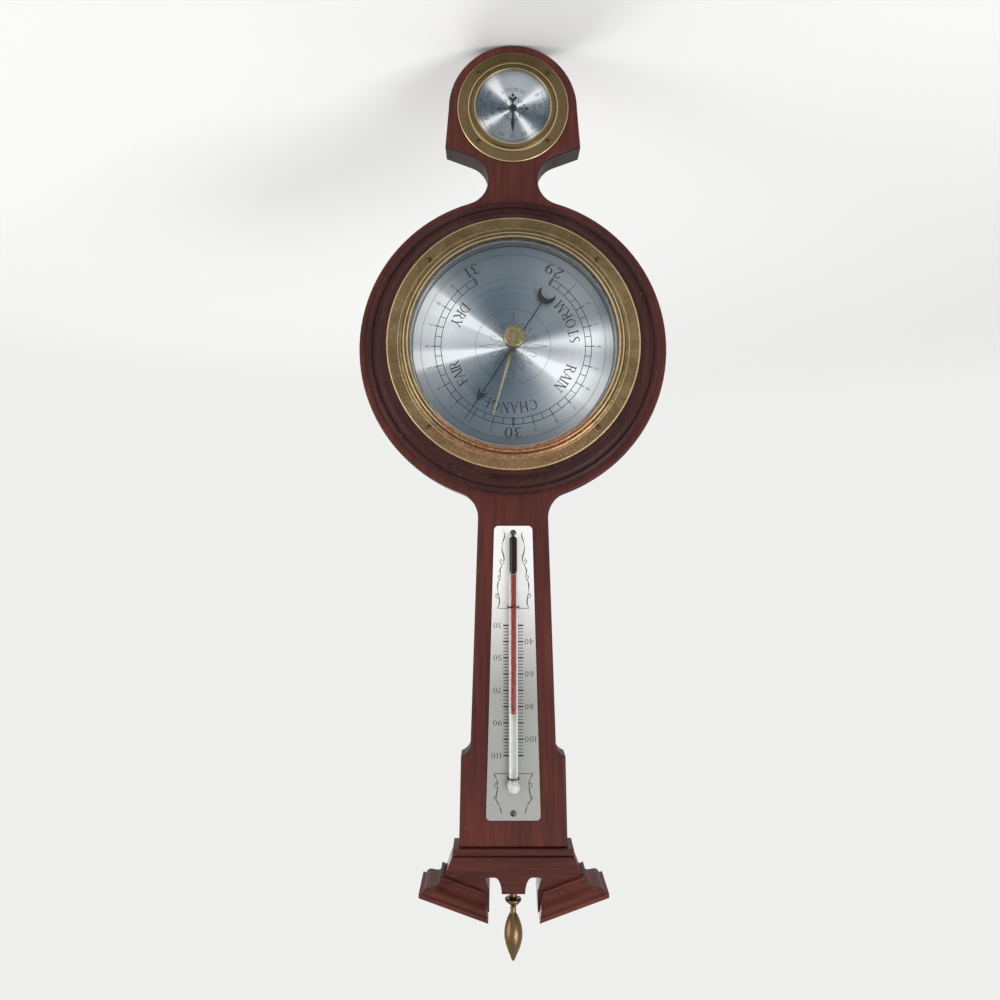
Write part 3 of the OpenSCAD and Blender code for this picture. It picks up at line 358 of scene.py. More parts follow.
def aged_brass(name, brass, centre=None, rims=(), reflection_inside=0.0, lift=1.0, blush=0.2):
    """Brass gone brown in spots.

    Round a centre, rims are the radii and widths of rubbed edges with painted highlights along them, painted
    shade darkens the brass low down, and the upper part inside a radius gets a painted warm reflection in
    copper and bright brass. blush is the strength of copper patches all over.
    """
    paint = Paint(name)
    cloud = paint.grain(110, detail=5, rough=0.65)
    fine = paint.grain(850, detail=5, rough=0.7, shift=2.3)
    flecks = paint.grain(2400, detail=3, rough=0.6, shift=4.1)
    shine = (0.16 * cloud.ramp(0.36, 0.7) + 0.5 * fine.ramp(0.48, 0.72)) * lift
    spots = (fine * 0.55 + flecks * 0.45).ramp(0.50, 0.64)
    if centre is not None:
        x, _, z = paint.axes(centre)
        reach = ((x * x + z * z) ** 0.5).at_least(1 * MM)
        # Each rim is a rubbed edge with a painted highlight along it: brighter, with fewer spots
        for radius, width in rims:
            off = reach - radius
            rubbed = 1.0 - abs(off).ramp(0.35 * width, width)
            shine = shine + rubbed * (0.35 + 0.9 * flecks)
            spots = spots * (1.0 - 0.7 * rubbed)
    colour = paint.mix(shine.at_most(1.0), brass.dull, brass.bright)
    patches = paint.grain(170, detail=4, rough=0.6, shift=6.7).ramp(0.5, 0.64)
    colour = paint.mix(patches * blush, colour, brass.copper)
    # Painted warm reflection: copper and bright brass on the upper part, strongest inside a radius
    if reflection_inside:
        near = 1.25 - 0.75 * reach.ramp(reflection_inside - 2 * MM, reflection_inside + 4 * MM)
        bloom = (z / reach + 0.9 * cloud - 0.45).ramp(0.55, 0.95) * near
        copper = paint.mix(fine.ramp(0.45, 0.75), brass.copper, brass.bright)
        colour = paint.mix((bloom * 0.75).at_most(1.0), colour, copper)
    colour = paint.mix(spots * 0.75, colour, brass.spot)
    # Painted shade: the brass darkens towards the bottom
    if centre is not None:
        colour = paint.mix((0.0 - z / reach).ramp(0.2, 1.0) * 0.4, colour, brass.spot)
    return paint.surface({
        "Base Color": colour, "Metallic": 1.0 - 0.3 * spots,
        "Roughness": 0.24 + 0.12 * cloud + 0.28 * spots,
        "Normal": paint.bump(fine - spots * 0.4, 0.3, 0.15 * MM)})


def plain_metal(name, light, dark, scale=700, stretch=(1, 1, 1), rough=0.32):
    """Brushed or cast metal between two tones."""
    paint = Paint(name)
    brushed = paint.grain(scale, stretch, 4, 0.6)
    colour = paint.mix(brushed.ramp(0.3, 0.7), dark, light)
    return paint.surface({
        "Base Color": colour, "Metallic": 1.0, "Roughness": rough + 0.18 * (brushed - 0.5),
        "Normal": paint.bump(brushed, 0.12, 0.1 * MM)})


# Painted light towards the rim of a large dial: its highlight rays gain strength and the metal between them
# a little light, to offset the bezel's shade
RIM_FROM, RIM_TO, RIM_GAIN, RIM_LIFT = 22 * MM, 46 * MM, 0.35, 0.045


def spun_metal(name, centre, rays, dial):
    """Silvered metal spun on a lathe: painted highlights in rays from the centre, and fine rings.

    Each painted highlight ray is its angle from +X in degrees, its half width in degrees and its strength.
    """
    paint = Paint(name)
    x, _, z = paint.axes(centre)
    radius = ((x * x + z * z) ** 0.5).at_least(0.1 * MM)
    settings = {"noise_dimensions": "1D"}
    rings = paint.node("ShaderNodeTexNoise", settings, {"W": radius, "Scale": 3200.0, "Detail": 3.0})
    broad = paint.node("ShaderNodeTexNoise", settings, {"W": radius, "Scale": 420.0, "Detail": 2.0})
    shine = 0.0
    # Painted highlights: each ray lightens the metal along its angle and fades to either side
    for angle, spread, strength in rays:
        turn = math.radians(angle)
        facing = (x * math.cos(turn) + z * math.sin(turn)) / radius
        sharpness = math.log(2) / -math.log(math.cos(math.radians(spread)))
        shine = shine + strength * facing.at_least(0.0) ** sharpness
    # Painted light: towards the rim the highlight rays grow and the metal between them lightens
    rim = radius.ramp(RIM_FROM, RIM_TO)
    lathe = (0.8 + 0.4 * rings) * (1.0 + RIM_GAIN * rim)
    cloud = paint.grain(60, detail=3)
    uneven = 0.10 * (rings - 0.5) + 0.05 * (broad - 0.5) + 0.08 * (cloud - 0.5)
    tone = shine * lathe + RIM_LIFT * rim + uneven
    colour = paint.mix(tone.at_least(0.0).at_most(1.0), dial.dim, dial.bright)
    return paint.surface({
        "Base Color": colour, "Metallic": 0.35, "Roughness": 0.36 + 0.12 * rings,
        "Normal": paint.bump(rings, 0.08, 0.05 * MM)})


def silver_plate(name):
    """Satin silver of the thermometer's plate, with a painted reflection that makes it paler towards its
    foot.
    """
    paint = Paint(name)
    z = paint.axes()[2]
    low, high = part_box("thermometer_plate")
    rise = (z - low.z) / (high.z - low.z)
    brushed = paint.grain(900, (1, 1, 0.03), 4, 0.6)
    tarnish = paint.grain(120, detail=5, rough=0.7)
    # Painted reflection: pale towards the foot, darker towards the top
    colour = paint.mix(rise.ramp(0.10, 0.62), (0.80, 0.805, 0.79, 1), (0.295, 0.30, 0.282, 1))
    colour = paint.mix(tarnish.ramp(0.52, 0.8) * 0.3, colour, (0.36, 0.36, 0.32, 1))
    colour = paint.mix(brushed.ramp(0.45, 0.8) * 0.14, colour, (0.25, 0.26, 0.27, 1))
    return paint.surface({
        "Base Color": colour, "Metallic": 0.35, "Roughness": 0.40 + 0.14 * tarnish,
        "Normal": paint.bump(brushed, 0.1, 0.05 * MM)})


def ink(name, colour, worn, fade):
    """Printing ink, a little worn; fade lets the metal show through."""
    paint = Paint(name)
    wear = paint.grain(1400, detail=3)
    tone = paint.mix(wear.ramp(0.45, 0.75), colour, worn)
    return paint.surface({
        "Base Color": tone, "Roughness": 0.5 + 0.2 * wear, "Specular IOR Level": 0.1,
        "Alpha": 1.0 - fade * (0.5 + wear)})


# Glass: its refraction, and how fast the end of the spirit in the bulb curves down across the tube
GLASS_IOR = 1.45
SHOULDER_CURVE = 0.42 / MM


def clear_glass(name, strength):
    """Thin clear glass: it mirrors more at a glance and is otherwise seen through."""
    paint = Paint(name)
    mirror = paint.node("ShaderNodeFresnel", None, {"IOR": GLASS_IOR})
    film = paint.grain(240, detail=4).ramp(0.5, 0.8)
    return paint.surface({
        "Base Color": (0.95, 0.97, 0.98, 1), "Metallic": 1.0, "Roughness": 0.03 + 0.05 * film,
        "Alpha": mirror * strength})


def tube_glass(name, axis, bulb_top):
    """Opal-sided tube glass: clear over the bore, milky beside it and dark where spirit fills it."""
    paint = Paint(name)
    x, _, z = paint.axes(axis)
    mirror = paint.node("ShaderNodeFresnel", None, {"IOR": GLASS_IOR})
    milky = abs(x).ramp(1.2 * MM, 1.9 * MM)
    shoulder = z - bulb_top + x * x * SHOULDER_CURVE
    filled = 1.0 - shoulder.ramp(-0.3 * MM, 0.3 * MM)
    uneven = paint.grain(300, (1, 1, 0.2), 3)
    white = paint.mix(uneven, (0.76, 0.77, 0.76, 1), (0.67, 0.68, 0.67, 1))
    body = paint.mix(filled, white, (0.012, 0.002, 0.003, 1))
    solid = milky * 0.5 * (1.0 - filled) + filled * 0.96
    return paint.surface({
        "Base Color": body, "Metallic": (1.0 - milky) * (1.0 - filled), "Roughness": 0.06 + 0.04 * uneven,
        "Specular IOR Level": 0.25, "Alpha": (mirror * 0.4).at_least(solid)})


def spirit_red(name, deep, light, rough):
    """Dyed spirit behind glass."""
    paint = Paint(name)
    swirl = paint.grain(500, (1, 1, 0.15), 3)
    colour = paint.mix(swirl.ramp(0.3, 0.7), deep, light)
    return paint.surface({
        "Base Color": colour, "Roughness": rough + 0.08 * swirl, "Specular IOR Level": 0.15})


def white_enamel(name, colour, shade):
    """Opal backing and putty: white with a faint unevenness."""
    paint = Paint(name)
    uneven = paint.grain(380, detail=4)
    return paint.surface({
        "Base Color": paint.mix(uneven.ramp(0.35, 0.75), colour, shade), "Roughness": 0.35 + 0.2 * uneven,
        "Normal": paint.bump(uneven, 0.1, 0.2 * MM)})


def placed(name, data):
    """A new object in the scene for a mesh, lamp or camera."""
    made = bpy.data.objects.new(name, data)
    bpy.context.scene.collection.objects.link(made)
    return made


def add_piece(name, mesh, material, body, slot, *nodes):
    """Adds a finished mesh as a piece that rides on a body and stands for the named nodes."""
    mesh.materials.clear()
    mesh.materials.append(material)
    piece = placed(name, mesh)
    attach(piece, body)
    if nodes:
        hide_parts(*nodes)


def smooth_mesh(name, shape):
    """A mesh from a bmesh, shaded smooth between its corners with flat faces kept flat."""
    mesh = bpy.data.meshes.new(name)
    shape.to_mesh(mesh)
    shape.free()
    mesh.shade_smooth()
    mesh.set_sharp_from_angle(angle=SMOOTH_ANGLE)
    return with_modifier(mesh, "WEIGHTED_NORMAL", {"keep_sharp": True})


def with_modifier(mesh, kind, settings):
    """The mesh after one modifier, as a plain mesh."""
    carrier = placed(mesh.name + "_work", mesh)
    modifier = carrier.modifiers.new(kind.title(), kind)
    for key, value in settings.items():
        if key in modifier.bl_rna.properties:
            setattr(modifier, key, value)
        else:
            modifier[key] = value
    seen = carrier.evaluated_get(bpy.context.evaluated_depsgraph_get())
    made = bpy.data.meshes.new_from_object(seen)
    bpy.data.objects.remove(carrier)
    return made


def joined_copy(node):
    """A node's mesh with its loose triangles joined into whole faces."""
    shape = bmesh.new()
    shape.from_mesh(frame["nodes"][node].data)
    bmesh.ops.remove_doubles(shape, verts=shape.verts, dist=MERGE)
    bmesh.ops.dissolve_limit(shape, angle_limit=FLAT_ANGLE, verts=shape.verts, edges=shape.edges)
    return shape


def ease(shape, width, segments, chosen=None):
    """Rounds the outer corners of a shape, or those that chosen picks and that have the room."""
    edges = [e for e in shape.edges if e.is_manifold and e.calc_face_angle_signed() > CORNER_ANGLE]
    edges = [e for e in edges if chosen is None or chosen(e)]
    if edges and width > 0:
        bmesh.ops.bevel(shape, geom=edges, offset=width, offset_type="OFFSET", segments=segments,
                        profile=0.5, affect="EDGES", clamp_overlap=chosen is None, loop_slide=False)


def show(node, shape, material):
    """Adds a shape as the finished piece that stands for a node."""
    name = node + "_finish"
    add_piece(name, smooth_mesh(name, shape), material, BODY[node], SLOT[node], node)


def dress(node, material, width=0.0, segments=2):
    """Shows a node as a joined, eased copy in its finish."""
    shape = joined_copy(node)
    ease(shape, width, segments)
    show(node, shape, material)


def wall(shape, below, above):
    """Joins two rings of points by faces."""
    for i in range(len(below)):
        j = (i + 1) % len(below)
        shape.faces.new((below[i], below[j], above[j], above[i]))


def coat(node, material):
    """Gives a node its finish and leaves its shape as it is."""
    frame["nodes"][node].material_slots[0].material = material


# Lettering: strokes in units of the capital height, from the left foot of each letter

STEM, HAIR, SERIF = 0.116, 0.060, 0.27
BOW_STEPS, BOW_REACH, ARC_STEPS = 8, 120, 6


def stroke(x0, y0, x1, y1, weight=STEM):
    """A straight stroke, cut level at its ends if it stands and upright if it lies."""
    dx, dy = x1 - x0, y1 - y0
    length = math.hypot(dx, dy)
    if abs(dy) > 0.4 * abs(dx):
        half = weight * length / abs(dy) / 2
        return [[(x0 - half, y0), (x0 + half, y0), (x1 + half, y1), (x1 - half, y1)]]
    half = weight * length / abs(dx) / 2
    return [[(x0, y0 - half), (x1, y1 - half), (x1, y1 + half), (x0, y0 + half)]]


def hair(x0, y0, x1, y1):
    """A fine straight stroke."""
    return stroke(x0, y0, x1, y1, HAIR)


def stretches(start, end, parts, steps):
    """The angles along an arc, cut into parts of so many steps each."""
    for part in range(parts):
        a0 = start + (end - start) * part / parts
        a1 = start + (end - start) * (part + 1) / parts
        yield [a0 + (a1 - a0) * i / steps for i in range(steps + 1)]


def bow(cx, cy, rx, ry, start, end):
    """A curved stroke, heavy at its sides and fine at its top and foot."""
    parts = max(1, round((end - start) / BOW_REACH))
    shapes = []
    for angles in stretches(start, end, parts, BOW_STEPS):
        turns = [math.radians(a) for a in angles]
        outer = [(cx + rx * math.cos(a), cy + ry * math.sin(a)) for a in turns]
        inner = [(cx + (rx - STEM) * math.cos(a), cy + (ry - HAIR) * math.sin(a)) for a in turns]
        shapes.append(outer + inner[::-1])
    return shapes


def serif(x, y):
    """A fine bar across the end of a stem, inside the capital height."""
    level = y + HAIR / 2 if y < 0.5 else y - HAIR / 2
    return hair(x - SERIF / 2, level, x + SERIF / 2, level)


def stem(x, weight=STEM):
    """An upright with serifs at both ends."""
    return stroke(x, 0, x, 1, weight) + serif(x, 0) + serif(x, 1)


def turned(shapes, width):
    """Shapes given a half turn within a letter's width."""
    return [[(width - x, 1 - y) for x, y in points] for points in shapes]


SIX = bow(.31, .31, .27, .31, 0, 360) + bow(.53, .36, .49, .64, 95, 180)
GLYPHS = {
    "A": (.80, hair(.08, 0, .40, 1) + stroke(.40, 1, .72, 0) + hair(.19, .34, .58, .34) + serif(.08, 0)
          + serif(.72, 0)),
    "C": (.80, bow(.44, .5, .38, .5, 50, 310) + hair(.69, .70, .69, .92)),
    "D": (.84, stem(.16) + bow(.30, .5, .48, .5, -90, 90)),
    "E": (.72, stem(.16) + hair(.16, .97, .62, .97) + hair(.16, .52, .50, .52)
          + hair(.16, .03, .64, .03) + hair(.61, .80, .61, 1) + hair(.63, 0, .63, .2)
          + hair(.49, .42, .49, .62)),
    "F": (.66, stem(.16) + hair(.16, .97, .60, .97) + hair(.16, .52, .48, .52) + hair(.59, .80, .59, 1)
          + hair(.47, .42, .47, .62)),
    "G": (.88, bow(.44, .5, .38, .5, 50, 330) + stroke(.72, .06, .72, .42) + serif(.72, .44)
          + hair(.69, .70, .69, .92)),
    "H": (.90, stem(.18) + stem(.72) + hair(.18, .52, .72, .52)),
    "I": (.36, stem(.18)),
    "M": (1.02, stem(.16, HAIR) + stroke(.17, 1, .51, 0) + hair(.51, 0, .85, 1) + stem(.86)),
    "N": (.88, stem(.16, HAIR) + stroke(.14, 1, .72, 0) + stem(.74, HAIR)),
    "O": (.88, bow(.44, .5, .40, .5, 0, 360)),
    "R": (.82, stem(.16) + bow(.30, .74, .33, .26, -90, 90) + stroke(.40, .5, .72, 0) + serif(.74, 0)
          + hair(.16, .51, .32, .51) + hair(.16, .97, .32, .97)),
    "S": (.62, bow(.31, .745, .24, .255, 45, 270) + bow(.31, .25, .26, .25, -140, 90)
          + stroke(.17, .64, .47, .36)),
    "T": (.78, stem(.39) + hair(.06, .97, .72, .97) + hair(.07, .78, .07, 1) + hair(.71, .78, .71, 1)),
    "U": (.86, stroke(.18, .3, .18, 1) + bow(.43, .32, .32, .32, 180, 360) + hair(.71, .3, .71, 1)
          + serif(.18, 1) + serif(.71, 1)),
    "Y": (.80, stroke(.12, 1, .42, .46) + hair(.70, 1, .42, .46) + stroke(.42, 0, .42, .5)
          + serif(.42, 0) + serif(.12, 1) + serif(.70, 1)),
    "0": (.62, bow(.31, .5, .27, .5, 0, 360)),
    "1": (.40, stroke(.22, 0, .22, 1) + serif(.22, 0) + hair(.08, .84, .20, .97)),
    "2": (.62, bow(.30, .72, .24, .28, -15, 170) + stroke(.47, .64, .08, .08, HAIR * 1.4)
          + stroke(.06, .06, .56, .06, STEM * 0.8)),
    "3": (.58, bow(.27, .75, .22, .25, -90, 150) + bow(.27, .27, .26, .27, -150, 90)),
    "4": (.66, stroke(.46, 0, .46, 1) + hair(.04, .28, .62, .28) + hair(.06, .28, .44, 1)
          + serif(.46, 0)),
    "5": (.60, hair(.15, .50, .15, .97) + stroke(.13, .94, .52, .94, STEM * 0.8)
          + bow(.26, .31, .29, .31, -150, 120)),
    "6": (.62, SIX),
    "7": (.60, stroke(.06, .94, .56, .94, STEM * 0.8) + stroke(.53, .94, .22, 0, STEM * 0.8)),
    "8": (.62, bow(.31, .745, .22, .255, 0, 360) + bow(.31, .26, .27, .26, 0, 360)),
    "9": (.62, turned(SIX, .62)),
}
LETTER_GAP = 0.10


def text_width(text, wide=1.0):
    """Length of a line of text in capital heights, its letters widened."""
    return sum(GLYPHS[letter][0] for letter in text) * wide + LETTER_GAP * (len(text) - 1)


def polar(radius, turn):
    """A point at a turn clockwise from the top, in radians."""
    return radius * math.sin(turn), radius * math.cos(turn)


def flowing(points, parts=6):
    """A smooth line through the points."""
    ends = [points[0]] + list(points) + [points[-1]]
    line = []
    for i in range(1, len(ends) - 2):
        a, b, c, d = (Vector(p) for p in ends[i - 1:i + 3])
        for step in range(parts):
            t = step / parts
            line.append(0.5 * (2 * b + (c - a) * t + (2 * a - 5 * b + 4 * c - d) * t * t
                               + (3 * b - a - 3 * c + d) * t ** 3))
    return line + [Vector(points[-1])]


class Printing:
    """Ink on a flat face, drawn in millimetres from a point on it, each mark a thin solid."""

    def __init__(self, origin):
        self.origin = origin
        self.shape = bmesh.new()

    def mark(self, points):
        area = sum(a[0] * b[1] - b[0] * a[1] for a, b in zip(points, points[1:] + points[:1]))
        ordered = points if area > 0 else points[::-1]
        front = [self.shape.verts.new((x, y, INK_DEPTH)) for x, y in ordered]
        back = [self.shape.verts.new((x, y, 0)) for x, y in ordered]
        self.shape.faces.new(front)
        self.shape.faces.new(back[::-1])
        wall(self.shape, back, front)

    def line(self, points, width):
        """A pen line of one width, or of a width that a function gives along it."""
        points = [Vector(p) for p in points]
        left, right = [], []
        for i, point in enumerate(points):
            way = points[min(i + 1, len(points) - 1)] - points[max(i - 1, 0)]
            side = Vector((-way.y, way.x)).normalized()
            wide = width(i / (len(points) - 1)) if callable(width) else width
            left.append(tuple(point + side * wide / 2))
            right.append(tuple(point - side * wide / 2))
        self.mark(right + left[::-1])

    def arc(self, radius, start, end, width, parts=12):
        """A ring line from one turn to another."""
        for turns in stretches(start, end, parts, ARC_STEPS):
            outer = [polar(radius + width / 2, a) for a in turns]
            inner = [polar(radius - width / 2, a) for a in turns]
            self.mark(outer + inner[::-1])

    def letters(self, text, height, place, wide, gap=LETTER_GAP):
        """Letters side by side, with place turning a stretch and a rise into a point."""
        start = 0.0
        for letter in text:
            width, shapes = GLYPHS[letter]
            for points in shapes:
                self.mark([place((start + x * wide) * height, y * height) for x, y in points])
            start += width * wide + gap

    def straight(self, text, height, left, foot, wide):
        """Level text."""
        self.letters(text, height, lambda along, up: (left + along, foot + up), wide)

    def curved(self, text, height, middle, start, end, outward=True, wide=1.0):
        """Text round a circle from one turn to another, in radians, its tops outward or inward."""
        span = abs(end - start) * middle / height
        width = sum(GLYPHS[letter][0] for letter in text) * wide
        gap = (span - width) / max(1, len(text) - 1)
        way = 1 if end > start else -1
        rise = 1 if outward else -1
        foot = middle - rise * height / 2

        def place(along, up):
            return polar(foot + rise * up, start + way * along / middle)

        self.letters(text, height, place, wide, gap)

    def centred(self, text, height, middle, turn, outward=True, wide=1.0):
        """Text centred on a turn of a circle."""
        half = text_width(text, wide) * height / middle / 2
        way = half if outward else -half
        self.curved(text, height, middle, turn - way, turn + way, outward, wide)

    def ticks(self, tree, material, sizes):
        """Adds the bars that a tick tree lays out."""
        mesh = grown_mesh(tree, dict(sizes, Thickness=INK_DEPTH, Ink=material))
        self.shape.from_mesh(mesh)

    def press(self, name, material):
        """Turns the drawing upright on its face and adds it as a piece of the case."""
        o = self.origin
        rows = ((MM, 0, 0, o.x), (0, 0, -MM, o.y), (0, MM, 0, o.z), (0, 0, 0, 1))
        self.shape.transform(Matrix(rows))
        mesh = bpy.data.meshes.new(name)
        self.shape.to_mesh(mesh)
        self.shape.free()
        add_piece(name, mesh, material, "case", "black_steel")


# Tick trees: bars laid round a circle or up a ladder

def tick_tree(name, *places):
    """An empty geometry tree with the named places and a bar's sizes as inputs, and those as signals."""
    sizes = (*places, "Length", "Width", "Thickness")
    kinds = {"Count": "Int", **dict.fromkeys(sizes, "Float"), "Ink": "Material"}
    tree = bpy.data.node_groups.new(name, "GeometryNodeTree")
    sheet = Sheet(tree)
    for key, kind in kinds.items():
        tree.interface.new_socket(name=key, in_out="INPUT", socket_type="NodeSocket" + kind)
    tree.interface.new_socket(name="Bars", in_out="OUTPUT", socket_type="NodeSocketGeometry")
    outputs = sheet.node("NodeGroupInput").socket.node.outputs
    return sheet, {key: Signal(sheet, outputs[key]) for key in kinds}


def bar_of(sheet, size, lift):
    """A bar standing on the face, with its foot at a height lift."""
    length, thick = size["Length"], size["Thickness"]
    extent = sheet.node("ShaderNodeCombineXYZ", None, {"X": size["Width"], "Y": length, "Z": thick})
    block = sheet.node("GeometryNodeMeshCube", None, {"Size": extent})
    move = sheet.node("ShaderNodeCombineXYZ", None, {"X": 0.0, "Y": lift + length / 2, "Z": thick / 2})
    return sheet.node("GeometryNodeTransform", None, {"Geometry": block, "Translation": move})


def finish_tree(sheet, size, points, turn, lift):
    """Sets a bar on every point, makes it real and inks it."""
    sockets = {"Points": points, "Instance": bar_of(sheet, size, lift), "Rotation": turn}
    bars = sheet.node("GeometryNodeInstanceOnPoints", None, sockets)
    real = sheet.node("GeometryNodeRealizeInstances", None, {"Geometry": bars})
    inked = sheet.node("GeometryNodeSetMaterial", None, {"Geometry": real, "Material": size["Ink"]})
    sheet.node("NodeGroupOutput", None, {"Bars": inked})
    return sheet.tree


def tick_ring_tree():
    """Bars round a circle, each a step clockwise of the last."""
    sheet, size = tick_tree("Tick Ring", "Start", "Step", "Radius")
    points = sheet.node("GeometryNodeMeshLine", None, {"Count": size["Count"], "Offset": (0, 0, 0)})
    index = sheet.node("GeometryNodeInputIndex")
    turn = sheet.node("ShaderNodeCombineXYZ", None, {"Z": 0.0 - (size["Start"] + size["Step"] * index)})
    return finish_tree(sheet, size, points, turn, size["Radius"])


def tick_ladder_tree():
    """Level bars up a line, each a step above the last."""
    sheet, size = tick_tree("Tick Ladder", "Foot", "Step", "Left")
    first = sheet.node("ShaderNodeCombineXYZ", None, {"X": size["Left"], "Y": size["Foot"]})
    climb = sheet.node("ShaderNodeCombineXYZ", None, {"Y": size["Step"]})
    sockets = {"Count": size["Count"], "Start Location": first, "Offset": climb}
    points = sheet.node("GeometryNodeMeshLine", None, sockets)
    return finish_tree(sheet, size, points, (0, 0, -math.pi / 2), 0.0)


def grown_mesh(tree, sizes):
    """The plain mesh that a geometry tree makes with these sizes."""
    keys = {item.name: item.identifier for item in tree.interface.items_tree if item.in_out == "INPUT"}
    settings = {"node_group": tree}
    settings.update({keys[name]: value for name, value in sizes.items()})
    return with_modifier(bpy.data.meshes.new(tree.name), "NODES", settings)


class BAROMETER_OT_case(bpy.types.Operator):
    """Polishes the board, the turned ring and the pediment"""

    bl_idname = "barometer.case"
    bl_label = "Case"

    EDGE_STEPS, ARRIS_STEPS = 4, 3
    HOLE_MARGIN = 2 * MM

    def execute(self, context):
        wood = context.scene.barometer_wood
        upright = mahogany("board mahogany", wood, "Z", (BOARD_FRONT, BOARD_BACK))
        level = mahogany("moulding mahogany", wood, "X", dust=0.12)
        raked = mahogany("cornice mahogany", wood, "X", dust=0.15, rubbed=0.45)
        deep = mahogany("return mahogany", wood, "Y")
        ring = mahogany("ring mahogany", wood, "Z", ring=True, dust=0.25)
        self.board(upright, wood.edge_round)
        finishes = {"dial_ring": ring, "bed_strip": level, "pediment_board": level, "cornice_left": raked,
                    "cornice_right": raked, "cornice_return_left": deep, "cornice_return_right": deep}
        for node, finish in finishes.items():
            dress(node, finish, wood.arris, self.ARRIS_STEPS)
        return {"FINISHED"}

    def board(self, material, edge_round):
        """Rounds the front edge of the board's outline and leaves its holes sharp."""
        shape = joined_copy("case_board")
        holes = ((DIAL_FRONT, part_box("dial_ring")), (DAMP_FRONT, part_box("hygrometer_bezel")))

        def on_outline(edge):
            ends = [v.co for v in edge.verts]
            if any(abs(p.y - BOARD_FRONT) > MERGE for p in ends):
                return False
            for centre, (low, high) in holes:
                reach = (high.x - low.x) / 2 - self.HOLE_MARGIN
                if all((p.xz - centre.xz).length < reach for p in ends):
                    return False
            return True

        ease(shape, edge_round, self.EDGE_STEPS, on_outline)
        show("case_board", shape, material)


class BAROMETER_OT_brass(bpy.types.Operator):
    """Ages the finial, the two bezels and their screws"""

    bl_idname = "barometer.brass"
    bl_label = "Brass"

    # Radii and widths of the bezel's rubbed rims, each also painted with a highlight
    RIMS = ((71.3 * MM, 0.6 * MM), (65.2 * MM, 0.3 * MM), (61.6 * MM, 0.45 * MM), (59.5 * MM, 0.5 * MM))
    SMALL_RIMS = ((32.2 * MM, 0.35 * MM), (25.9 * MM, 0.45 * MM), (22.2 * MM, 0.4 * MM))
    # Radius inside which the painted warm reflection on the bezel is strongest
    BLOOM_INSIDE = 63 * MM

    def execute(self, context):
        brass = context.scene.barometer_brass
        large = aged_brass("bezel brass", brass, DIAL_FRONT, self.RIMS, self.BLOOM_INSIDE)
        dress("barometer_bezel", large, BODY_EASE)
        small = aged_brass("small bezel brass", brass, DAMP_FRONT, self.SMALL_RIMS, lift=0.45)
        dress("hygrometer_bezel", small, PLATE_EASE)
        dress("finial", aged_brass("finial brass", brass, lift=0.08, blush=0.25), BODY_EASE)
        screws = plain_metal("screw brass", brass.dull, brass.spot, 900)
        for node in ("barometer_bezel_screws", "hygrometer_bezel_screws"):
            dress(node, screws, FINE_EASE)
        return {"FINISHED"}


